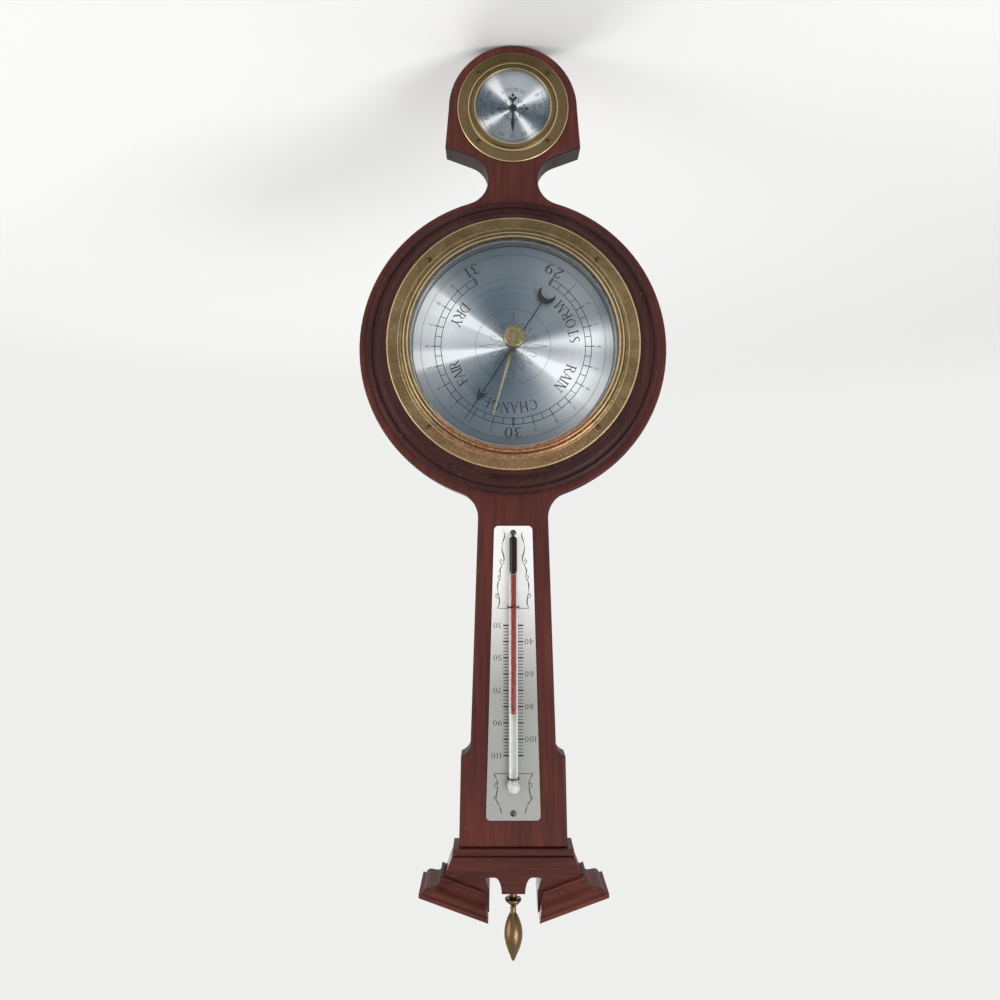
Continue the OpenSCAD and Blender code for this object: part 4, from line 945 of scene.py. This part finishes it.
class BAROMETER_OT_dial(bpy.types.Operator):
    """Spins and prints the barometer's dial"""

    bl_idname = "barometer.dial"
    bl_label = "Barometer Dial"

    # Painted highlights: the rays of the spun metal, each its angle, half width and strength
    RAYS = ((151, 5, 1.5), (153, 20, 0.66), (186, 7, 0.62), (330, 4, 1.7), (334, 16, 0.42), (9, 4, 1.1),
            (18, 15, 0.18), (352, 15, 0.34), (222, 30, 0.12), (120, 26, 0.08))
    WORDS = (("RAIN", -72, -45, True), ("CHANGE", -22.6, 28.6, True), ("FAIR", 52, 76, True),
             ("STORM", -93, -135, False), ("DRY", 132, 109, False))
    WORD_RADIUS = 35.3
    RING_LINE = 0.40

    # Ticks to a tenth, how far they reach past the ring, and their width
    TICKS = ((2, 0.0, 0.38), (1, 2.0, 0.44))
    DIGIT, DIGIT_PAST = 2.5, 4.3
    NUMERAL_PAST, NUMERAL_WIDE, NUMERAL_ASIDE = 4.6, 1.35, 0.03

    # The compass rose: each ring is its radius, its width and the parts that it is drawn in
    ROSE_POINTS, ROSE_HUB, ROSE_WAIST, ROSE_SPREAD, ROSE_TIPS = 8, 6.5, 9.5, 0.16, (19.5, 15.0)
    ROSE_LINE, CURL_LINE = 0.22, 0.24
    ROSE_RINGS = ((6.5, 0.22, 12), (21.5, 0.18, 12), (53.0, 0.25, 24))
    CURL_RADIUS, CURL_RISE, CURL_LEAD, CURL_SWING = 11, 3.2, 0.39, 0.12
    CURL_TURNS = [0.9 * k for k in range(7)]

    def execute(self, context):
        dial = context.scene.barometer_dial
        dress("barometer_dial", spun_metal("dial silver", DIAL_FRONT, self.RAYS, dial))
        black = ink("dial ink", (0.010, 0.012, 0.016, 1), (0.035, 0.040, 0.046, 1), 0.0)
        faint = ink("ornament ink", (0.10, 0.12, 0.14, 1), (0.2, 0.22, 0.24, 1), 0.58)
        printing = Printing(DIAL_FRONT)
        self.scale(printing, dial, black)
        self.words(printing, dial)
        printing.press("barometer_dial_print", black)
        rose = Printing(DIAL_FRONT)
        self.rose(rose)
        rose.press("barometer_dial_rose", faint)
        return {"FINISHED"}

    def scale(self, printing, dial, material):
        """The double ring, its divisions and its numbers."""
        inner, outer, sweep = dial.band_inner, dial.band_outer, dial.sweep
        for radius in (inner, outer):
            printing.arc(radius, -sweep, sweep, self.RING_LINE)
        tenth = sweep / dial.tenths
        tree = tick_ring_tree()
        for share, past, line in self.TICKS:
            printing.ticks(tree, material, {
                "Count": 2 * dial.tenths * share + 1, "Start": -sweep, "Step": tenth / share,
                "Radius": inner, "Length": outer - inner + past, "Width": line})
        for half in (-1, 0):
            for step in range(1, dial.tenths):
                turn = half * sweep + step * tenth
                upright = abs(turn) < math.pi / 2
                printing.centred(str(step), self.DIGIT, outer + self.DIGIT_PAST, turn, upright)
        for turn in (-sweep, 0, sweep):
            self.lozenge(printing, (inner + outer) / 2, turn)
        reach, end = outer + self.NUMERAL_PAST, sweep + self.NUMERAL_ASIDE
        for text, turn, outward in (("30", 0, True), ("29", -end, False), ("31", end, False)):
            printing.centred(text, dial.numeral, reach, turn, outward, self.NUMERAL_WIDE)

    def lozenge(self, printing, radius, turn, half_width=1.0, half_height=2.9, line=0.42):
        """An open diamond across the scale."""
        c, s = math.cos(turn), math.sin(turn)
        cx, cy = polar(radius, turn)
        low = 2 * line - half_height
        for side in (-1, 1):
            outer = [(0, -half_height), (side * half_width, 0), (0, half_height)]
            inner = [(0, -low), (side * (half_width - line), 0), (0, low)]
            printing.mark([(cx + x * c + y * s, cy - x * s + y * c) for x, y in outer + inner])

    def words(self, printing, dial):
        """The five weather words, those below the middle reading from the foot."""
        for word, start, end, outward in self.WORDS:
            turns = math.radians(start), math.radians(end)
            printing.curved(word, dial.word, self.WORD_RADIUS, *turns, outward)

    def rose(self, printing):
        """A faint eight-pointed compass rose with scrolls between its points."""
        for point in range(self.ROSE_POINTS):
            turn = math.radians(360 / self.ROSE_POINTS * point)
            hub, tip = polar(self.ROSE_HUB, turn), polar(self.ROSE_TIPS[point % 2], turn)
            for side in (-1, 1):
                waist = polar(self.ROSE_WAIST, turn + side * self.ROSE_SPREAD)
                printing.line([hub, waist, tip], self.ROSE_LINE)
            curl = [polar(self.CURL_RADIUS + self.CURL_RISE * math.sin(a),
                          turn + self.CURL_LEAD + self.CURL_SWING * math.cos(a)) for a in self.CURL_TURNS]
            printing.line(flowing(curl), self.CURL_LINE)
        for radius, line, parts in self.ROSE_RINGS:
            printing.arc(radius, 0, 2 * math.pi, line, parts)


class BAROMETER_OT_hygrometer(bpy.types.Operator):
    """Spins and prints the hygrometer's dial"""

    bl_idname = "barometer.hygrometer"
    bl_label = "Hygrometer Dial"

    # Painted highlights: the rays of the spun metal, each its angle, half width and strength
    RAYS = ((127, 9, 1.0), (308, 9, 1.0), (30, 9, 0.9), (210, 9, 0.95), (255, 60, 0.45), (80, 40, 0.2))
    SWEEP = math.radians(120)
    TENS, TICKS_A_TEN = 10, 4
    RADIUS, TICK, LINE = 18.9, 1.4, 0.2
    DIGIT, DIGIT_RADIUS = 2.7, 16.5
    WORDS = (("HUMIDITY", 2.2, 11.4, 180, False), ("DRY", 2.0, 12.4, -90, True),
             ("MOIST", 2.0, 12.4, 90, True))

    # Points of a lily's barb and leaf, each as its distance back from the tip and aside
    LILY_TIP = 9.6
    BARB = ((0, 0), (1.7, 1.0), (2.9, 0))
    LEAF = ((6.0, 0.3), (3.6, 0.5), (2.6, 1.7), (3.2, 2.4), (3.9, 2.0))
    SCROLL_RADIUS, SCROLL_EYE, SCROLL_GROWTH, SCROLL_TURN, SCROLL_POINTS = 6.6, 0.25, 0.28, 0.85, 7
    LEAF_LINE, SCROLL_LINE = 0.42, 0.4

    def execute(self, context):
        dial = context.scene.barometer_dial
        dress("hygrometer_dial", spun_metal("small dial silver", DAMP_FRONT, self.RAYS, dial))
        black = ink("small dial ink", (0.010, 0.012, 0.016, 1), (0.045, 0.052, 0.060, 1), 0.0)
        printing = Printing(DAMP_FRONT)
        ten = 2 * self.SWEEP / self.TENS
        printing.ticks(tick_ring_tree(), black, {
            "Count": self.TENS * self.TICKS_A_TEN + 1, "Start": -self.SWEEP,
            "Step": ten / self.TICKS_A_TEN, "Radius": self.RADIUS, "Length": self.TICK, "Width": self.LINE})
        printing.arc(self.RADIUS, -self.SWEEP, self.SWEEP, self.LINE)
        for step in range(self.TENS + 1):
            printing.centred(str(step * 10), self.DIGIT, self.DIGIT_RADIUS, step * ten - self.SWEEP)
        for word, height, radius, turn, outward in self.WORDS:
            printing.centred(word, height, radius, math.radians(turn), outward)
        for quarter in range(4):
            self.lily(printing, math.radians(90 * quarter))
            self.scroll(printing, math.radians(90 * quarter + 45))
        printing.press("hygrometer_dial_print", black)
        return {"FINISHED"}

    def lily(self, printing, turn):
        """A barbed point along a turn, with a leaf curling back on either side."""

        def place(back, aside):
            (x, y), (u, v) = polar(self.LILY_TIP - back, turn), polar(aside, turn + math.pi / 2)
            return x + u, y + v

        for side in (-1, 1):
            printing.mark([place(back, side * aside) for back, aside in self.BARB])
            leaf = [place(back, side * aside) for back, aside in self.LEAF]
            printing.line(flowing(leaf), self.LEAF_LINE)

    def scroll(self, printing, turn):
        """A curl between two points."""
        x, y = polar(self.SCROLL_RADIUS, turn)
        curl = [polar(self.SCROLL_EYE + self.SCROLL_GROWTH * k, turn + self.SCROLL_TURN * k)
                for k in range(self.SCROLL_POINTS)]
        printing.line(flowing([(x + u, y + v) for u, v in curl]), self.SCROLL_LINE)


class BAROMETER_OT_hands(bpy.types.Operator):
    """Finishes the hands and the setting knob"""

    bl_idname = "barometer.hands"
    bl_label = "Hands"

    def execute(self, context):
        black = plain_metal(
            "blued steel", (0.030, 0.036, 0.050, 1), (0.008, 0.009, 0.012, 1), 900, rough=0.35)
        dress("pressure_hand", black, FINE_EASE)
        dress("humidity_hand", black, FINE_EASE)
        pale = plain_metal("hand brass", (0.40, 0.35, 0.21, 1), (0.31, 0.27, 0.16, 1), 1500, rough=0.28)
        dress("setting_hand", pale, HAIR_EASE)
        knob = plain_metal("knob brass", (0.31, 0.27, 0.152, 1), (0.135, 0.113, 0.062, 1), 1150, rough=0.3)
        dress("setting_knob", knob, KNOB_EASE, 3)
        return {"FINISHED"}


class BAROMETER_OT_glass(bpy.types.Operator):
    """Clears the two dial glasses"""

    bl_idname = "barometer.glass"
    bl_label = "Glasses"

    def execute(self, context):
        clear = clear_glass("dial glass", 0.4)
        dress("barometer_glass", clear)
        dress("hygrometer_glass", clear)
        return {"FINISHED"}


class BAROMETER_OT_thermometer(bpy.types.Operator):
    """Finishes and prints the thermometer"""

    bl_idname = "barometer.thermometer"
    bl_label = "Thermometer"

    # Degrees and heights above the dial's centre at the ends of the scale
    COLD, HOT = (30, 159.3), (110, 232.8)

    # Degrees between ticks, their length and their width, and how far aside their middles stand
    TICKS = ((2, 3.1, 0.42), (10, 3.4, 0.8))
    TICK_ASIDE = 4.05
    NUMBER_STEP, NUMBER_HEIGHT, NUMBER_WIDE, NUMBER_ASIDE = 10, 3.15, 1.24, 6.4

    # The right half of each frame, from its level bar outwards, the hooks on it and one hook's curl
    LOWER_FRAME = ((9.0, 149.6), (7.9, 146.5), (8.3, 142), (8.9, 138.5), (8.6, 135), (7.2, 131.5),
                   (7.6, 128), (6.3, 125), (5.2, 121.5), (6.4, 116), (6.0, 112), (4.9, 108.5), (5.3, 106))
    UPPER_FRAME = ((11.1, 242.9), (9.5, 245.9), (8.8, 249.6), (9.7, 257), (7.9, 260.8), (6.5, 265.5))
    HOOKS = ((8.3, 142.0, 1.0), (7.3, 131.6, 0.9), (6.0, 122.6, 1.0), (8.9, 249.0, 1.0), (9.6, 256.2, 0.8))
    CURL = ((0, 2.0), (1.1, 1.5), (1.7, 0.3), (1.1, -0.7), (0.4, -0.3), (0.75, 0.3))
    HOOK_LINE, BAR_HALF = 0.34, 0.17
    FRAME_LINE, FRAME_SWELL, FRAME_WAVES = 0.24, 0.40, 5

    COLUMN_RINGS = 60
    ENAMEL_OUTER, ENAMEL_INNER, ENAMEL_STEPS = 2.35 * MM, 1.75 * MM, 18
    ENAMEL_FROM, ENAMEL_TURN, ENAMEL_SHORT = -8, 196, 2 * MM
    PUTTY_RADIUS, PUTTY_DEPTH, PUTTY_BACK, PUTTY_DROP = 3.7 * MM, 3.1 * MM, 2.9 * MM, 2.2 * MM

    # Heights and scales of the putty's lumps
    PUTTY_LUMPS = ((0.16, 1.3), (0.05, 3))

    def execute(self, context):
        dress("thermometer_plate", silver_plate("plate silver"), PLATE_EASE)
        dark = plain_metal("plate screw steel", (0.16, 0.15, 0.13, 1), (0.04, 0.04, 0.035, 1), 800)
        dress("plate_screws", dark, FINE_EASE)
        wire = plain_metal("staple wire", (0.10, 0.085, 0.06, 1), (0.02, 0.018, 0.015, 1), 800)
        dress("tube_staples", wire)
        axis = front_of("thermometer_tube")
        bulb_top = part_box("bulb_spirit")[1].z - axis.z
        dress("thermometer_tube", tube_glass("tube glass", axis, bulb_top))
        self.spirit()
        self.backing()
        self.putty()
        self.print_scale()
        return {"FINISHED"}

    def print_scale(self):
        """The degrees on both sides of the tube, and the two frames."""
        black = ink("scale ink", (0.040, 0.042, 0.038, 1), (0.13, 0.13, 0.12, 1), 0.0)
        printing = Printing(PLATE_FRONT)
        tree = tick_ladder_tree()
        step = (self.HOT[1] - self.COLD[1]) / (self.HOT[0] - self.COLD[0])
        for side in (-1, 1):
            for degrees, length, line in self.TICKS:
                printing.ticks(tree, black, {
                    "Count": (self.HOT[0] - self.COLD[0]) // degrees + 1, "Foot": self.COLD[1],
                    "Step": degrees * step, "Left": side * self.TICK_ASIDE - length / 2,
                    "Length": length, "Width": line})
        height, wide, aside = self.NUMBER_HEIGHT, self.NUMBER_WIDE, self.NUMBER_ASIDE
        for degrees in range(self.COLD[0], self.HOT[0] + 1, self.NUMBER_STEP):
            text = str(degrees)
            foot = self.COLD[1] + (degrees - self.COLD[0]) * step - height / 2
            on_right = degrees // self.NUMBER_STEP % 2 == 1
            left = aside if on_right else -aside - text_width(text, wide) * height
            printing.straight(text, height, left, foot, wide)
        printing.press("thermometer_print", black)
        grey = ink("frame ink", (0.055, 0.057, 0.052, 1), (0.16, 0.16, 0.15, 1), 0.25)
        frames = Printing(PLATE_FRONT)
        self.frames(frames)
        frames.press("thermometer_frames", grey)

    def frames(self, printing):
        """The scrolled frames round the bulb and the top of the tube."""

        def swelling(t):
            return self.FRAME_LINE + self.FRAME_SWELL * math.sin(self.FRAME_WAVES * math.pi * t) ** 2

        for side in (-1, 1):
            for points in (self.LOWER_FRAME, self.UPPER_FRAME):
                printing.line(flowing([(side * x, y) for x, y in points]), swelling)
            for x, y, size in self.HOOKS:
                hook = [(side * (x + size * u), y + size * v) for u, v in self.CURL]
                printing.line(flowing(hook), self.HOOK_LINE)
        for half, y in (self.LOWER_FRAME[0], self.UPPER_FRAME[0]):
            low, high = y - self.BAR_HALF, y + self.BAR_HALF
            printing.mark([(-half, low), (half, low), (half, high), (-half, high)])

    def spirit(self):
        """The dyed spirit: a column with rings along it, and the dark bulb."""
        red = spirit_red("red spirit", (0.27, 0.009, 0.007, 1), (0.33, 0.016, 0.012, 1), 0.45)
        dark = spirit_red("bulb spirit", (0.008, 0.002, 0.003, 1), (0.040, 0.004, 0.005, 1), 0.12)
        dress("bulb_spirit", dark)
        dress("spirit_surface", red)
        low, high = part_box("spirit_column")
        mesh = rod_mesh("spirit_column_finish", low, high, self.COLUMN_RINGS)
        column = placed("spirit_column_finish", mesh)
        mesh.materials.append(red)
        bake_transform(column)
        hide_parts("spirit_column")

    def backing(self):
        """The white enamel strip at the back of the tube, behind the bore."""
        low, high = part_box("thermometer_tube")
        axis = (low + high) / 2
        shape = bmesh.new()
        foot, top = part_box("spirit_column")[0].z, high.z - self.ENAMEL_SHORT
        steps = range(self.ENAMEL_STEPS + 1)
        profile = []
        for radius, turns in ((self.ENAMEL_OUTER, steps), (self.ENAMEL_INNER, reversed(steps))):
            for k in turns:
                a = math.radians(self.ENAMEL_FROM + self.ENAMEL_TURN * k / self.ENAMEL_STEPS)
                profile.append((axis.x + radius * math.cos(a), axis.y + radius * math.sin(a)))
        rings = [[shape.verts.new((x, y, z)) for x, y in profile] for z in (foot, top)]
        shape.faces.new(rings[0])
        shape.faces.new(rings[1][::-1])
        wall(shape, *rings)
        bmesh.ops.recalc_face_normals(shape, faces=shape.faces)
        white = white_enamel("opal enamel", (0.78, 0.79, 0.78, 1), (0.71, 0.72, 0.71, 1))
        add_piece("tube_enamel", smooth_mesh("tube_enamel", shape), white, "case", "glass")

    def putty(self):
        """A dab of white putty over the sealed top of the tube."""
        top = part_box("thermometer_tube")[1].z
        axis = front_of("thermometer_tube")
        shape = bmesh.new()
        bmesh.ops.create_icosphere(shape, subdivisions=4, radius=1)
        for vert in shape.verts:
            lumps = (high * noise.noise(vert.co * scale) for high, scale in self.PUTTY_LUMPS)
            x, y, z = vert.co * (1 + sum(lumps))
            depth = min(PLATE_FRONT.y, axis.y + self.PUTTY_BACK + self.PUTTY_DEPTH * y)
            level = top - self.PUTTY_DROP + self.PUTTY_RADIUS * z
            vert.co = (axis.x + self.PUTTY_RADIUS * x, depth, level)
        white = white_enamel("putty", (0.60, 0.60, 0.56, 1), (0.42, 0.42, 0.38, 1))
        add_piece("tube_putty", smooth_mesh("tube_putty", shape), white, "case", "glass")


def rod_mesh(name, low, high, rings, sides=28):
    """An upright rod that fills a box, with rings along it so that it can stretch."""
    middle, radius = (low + high) / 2, (high.x - low.x) / 2
    shape = bmesh.new()
    turns = [2 * math.pi * i / sides for i in range(sides)]
    circle = [(middle.x + radius * math.cos(a), middle.y + radius * math.sin(a)) for a in turns]
    heights = [low.z + (high.z - low.z) * k / rings for k in range(rings + 1)]
    levels = [[shape.verts.new((x, y, z)) for x, y in circle] for z in heights]
    for below, above in zip(levels, levels[1:]):
        wall(shape, below, above)
    shape.faces.new(levels[0][::-1])
    shape.faces.new(levels[-1])
    return smooth_mesh(name, shape)


class BAROMETER_OT_movement(bpy.types.Operator):
    """Finishes the movements inside the two cans"""

    bl_idname = "barometer.movement"
    bl_label = "Movements"

    BRASS = ("dial_pillars", "movement_plate", "movement_bridge", "bridge_pillars", "rocker_brackets",
             "hand_pinion", "sector_gear", "capsule_post", "humidity_bracket")
    STEEL = ("movement_screws", "main_spring", "hairspring", "hand_arbor", "sector_arbor", "rocker",
             "main_lever", "connecting_rod", "humidity_arbor")

    def execute(self, context):
        brass = plain_metal("movement brass", (0.62, 0.47, 0.20, 1), (0.42, 0.31, 0.13, 1), 800, (1, 1, 0.1))
        steel = plain_metal("movement steel", (0.52, 0.53, 0.55, 1), (0.30, 0.31, 0.33, 1), 800, (1, 1, 0.1))
        silver = plain_metal("capsule silver", (0.66, 0.67, 0.68, 1), (0.48, 0.49, 0.50, 1), 500)
        strip = plain_metal("coil strip", (0.40, 0.31, 0.17, 1), (0.24, 0.18, 0.10, 1), 600)
        for node in self.BRASS:
            coat(node, brass)
        for node in self.STEEL:
            coat(node, steel)
        coat("aneroid_capsule", silver)
        coat("humidity_coil", strip)
        zinc = plain_metal(
            "can zinc", (0.47, 0.47, 0.455, 1), (0.40, 0.40, 0.39, 1), 420, (1, 1, 0.08), rough=0.4)
        for node in ("barometer_can", "hygrometer_can"):
            dress(node, zinc, BODY_EASE)
        dress("adjusting_screw", brass, FINE_EASE)
        return {"FINISHED"}


class BAROMETER_OT_hanger(bpy.types.Operator):
    """Finishes the keyhole plate and its screws"""

    bl_idname = "barometer.hanger"
    bl_label = "Hanger"

    def execute(self, context):
        brass = context.scene.barometer_brass
        dress("hanger_plate", aged_brass("hanger brass", brass, lift=1.2), PLATE_EASE)
        steel = plain_metal("hanger screw steel", (0.42, 0.41, 0.38, 1), (0.20, 0.19, 0.17, 1), 900)
        dress("hanger_screws", steel, FINE_EASE)
        return {"FINISHED"}


class BAROMETER_OT_stage(bpy.types.Operator):
    """Sets the floor, the lights and the camera"""

    bl_idname = "barometer.stage"
    bl_label = "Stage"

    FLOOR_GAP, FLOOR_FADE = 0.5 * MM, (0.2, 0.95)

    # Each lamp's name, place, width in metres and power in watts
    LAMPS = (("key_light", (-0.85, -1.15, 0.55), 0.9, 15), ("fill_light", (1.4, -0.8, 0.15), 1.1, 10),
             ("back_light", (0.5, 1.1, 0.75), 1.0, 8.5))

    def execute(self, context):
        stage = context.scene.barometer_stage
        scene = context.scene
        scene.view_settings.view_transform = "Standard"
        self.floor(stage)
        self.world(scene, stage)
        middle = (CAD_BOX[0] + CAD_BOX[1]) / 2
        for name, place, size, power in self.LAMPS:
            self.lamp(name, place, middle, size, power)
        self.camera(scene, stage)
        return {"FINISHED"}

    def floor(self, stage, half=1.6):
        """A plain pale floor just under the lowest point, which thins out into the backdrop."""
        z = CAD_BOX[0].z - self.FLOOR_GAP
        mesh = bpy.data.meshes.new("floor")
        corners = [(-half, -half, z), (half, -half, z), (half, half, z), (-half, half, z)]
        mesh.from_pydata(corners, [], [(0, 1, 2, 3)])
        paint = Paint("floor")
        x, y, _ = paint.axes()
        away = (x * x + y * y) ** 0.5
        thin = away.ramp(*(share * half for share in self.FLOOR_FADE))
        mesh.materials.append(paint.surface(
            {"Base Color": stage.backdrop, "Roughness": 0.8, "Alpha": 1.0 - thin}))
        floor = placed("floor", mesh)

    def world(self, scene, stage):
        """Even light from all round, seen as the pale backdrop by the camera, metal and glass."""
        world = bpy.data.worlds.new("studio")
        world.use_nodes = True
        scene.world = world
        sheet = Sheet(world.node_tree)
        path = sheet.node("ShaderNodeLightPath").socket.node.outputs
        seen = Signal(sheet, path["Is Camera Ray"]) + Signal(sheet, path["Is Glossy Ray"])
        seen = (seen + Signal(sheet, path["Is Transmission Ray"])).at_most(1.0)
        light = sheet.node("ShaderNodeBackground", None, {"Color": (1, 1, 1, 1), "Strength": stage.ambient})
        pale = sheet.node("ShaderNodeBackground", None, {"Color": stage.backdrop, "Strength": 1.0})
        both = sheet.node("ShaderNodeMixShader", None, {0: seen, 1: light, 2: pale})
        sheet.node("ShaderNodeOutputWorld", None, {"Surface": both})

    def lamp(self, name, place, target, size, power):
        data = bpy.data.lights.new(name, "AREA")
        data.shape = "DISK"
        data.size = size
        data.energy = power
        lamp = placed(name, data)
        lamp.location = place
        lamp.rotation_euler = (target - Vector(place)).to_track_quat("-Z", "Y").to_euler()

    def camera(self, scene, stage):
        """The photograph's view, in which the barometer stands on its head."""
        data = bpy.data.cameras.new("camera")
        data.lens = stage.lens
        data.sensor_width = 36
        data.clip_start = 0.01
        forward = Vector(stage.gaze).normalized()
        right = forward.cross(Vector((0, 0, -1))).normalized()
        up = right.cross(forward)
        turn = Matrix((right, up, -forward)).transposed().to_4x4()
        camera = placed("camera", data)
        camera.matrix_world = Matrix.Translation(stage.eye) @ turn
        scene.camera = camera


class BAROMETER_PT_finish(bpy.types.Panel):
    """Lists the finishing steps and their settings"""

    bl_idname = "BAROMETER_PT_finish"
    bl_label = "Banjo Barometer"
    bl_space_type = "VIEW_3D"
    bl_region_type = "UI"
    bl_category = "Barometer"

    def draw(self, context):
        for step in STEPS:
            self.layout.operator(step.bl_idname)
        for name, group in SETTINGS.items():
            box = self.layout.box()
            box.label(text=group.bl_rna.name)
            for key in group.__annotations__:
                box.prop(getattr(context.scene, name), key)


STEPS = (BAROMETER_OT_stage, BAROMETER_OT_case, BAROMETER_OT_brass, BAROMETER_OT_dial,
         BAROMETER_OT_hygrometer, BAROMETER_OT_hands, BAROMETER_OT_glass, BAROMETER_OT_thermometer,
         BAROMETER_OT_movement, BAROMETER_OT_hanger)
SETTINGS = {"barometer_wood": WoodSettings, "barometer_brass": BrassSettings, "barometer_dial": DialSettings,
            "barometer_stage": StageSettings}
CLASSES = (*SETTINGS.values(), *STEPS, BAROMETER_PT_finish)


def register():
    for item in CLASSES:
        bpy.utils.register_class(item)
    for name, group in SETTINGS.items():
        setattr(bpy.types.Scene, name, PointerProperty(type=group))


def unregister():
    for name in SETTINGS:
        delattr(bpy.types.Scene, name)
    for item in reversed(CLASSES):
        bpy.utils.unregister_class(item)


def main():
    register()
    for step in STEPS:
        group, name = step.bl_idname.split(".")
        getattr(getattr(bpy.ops, group), name)()


if __name__ == "__main__":
    main()
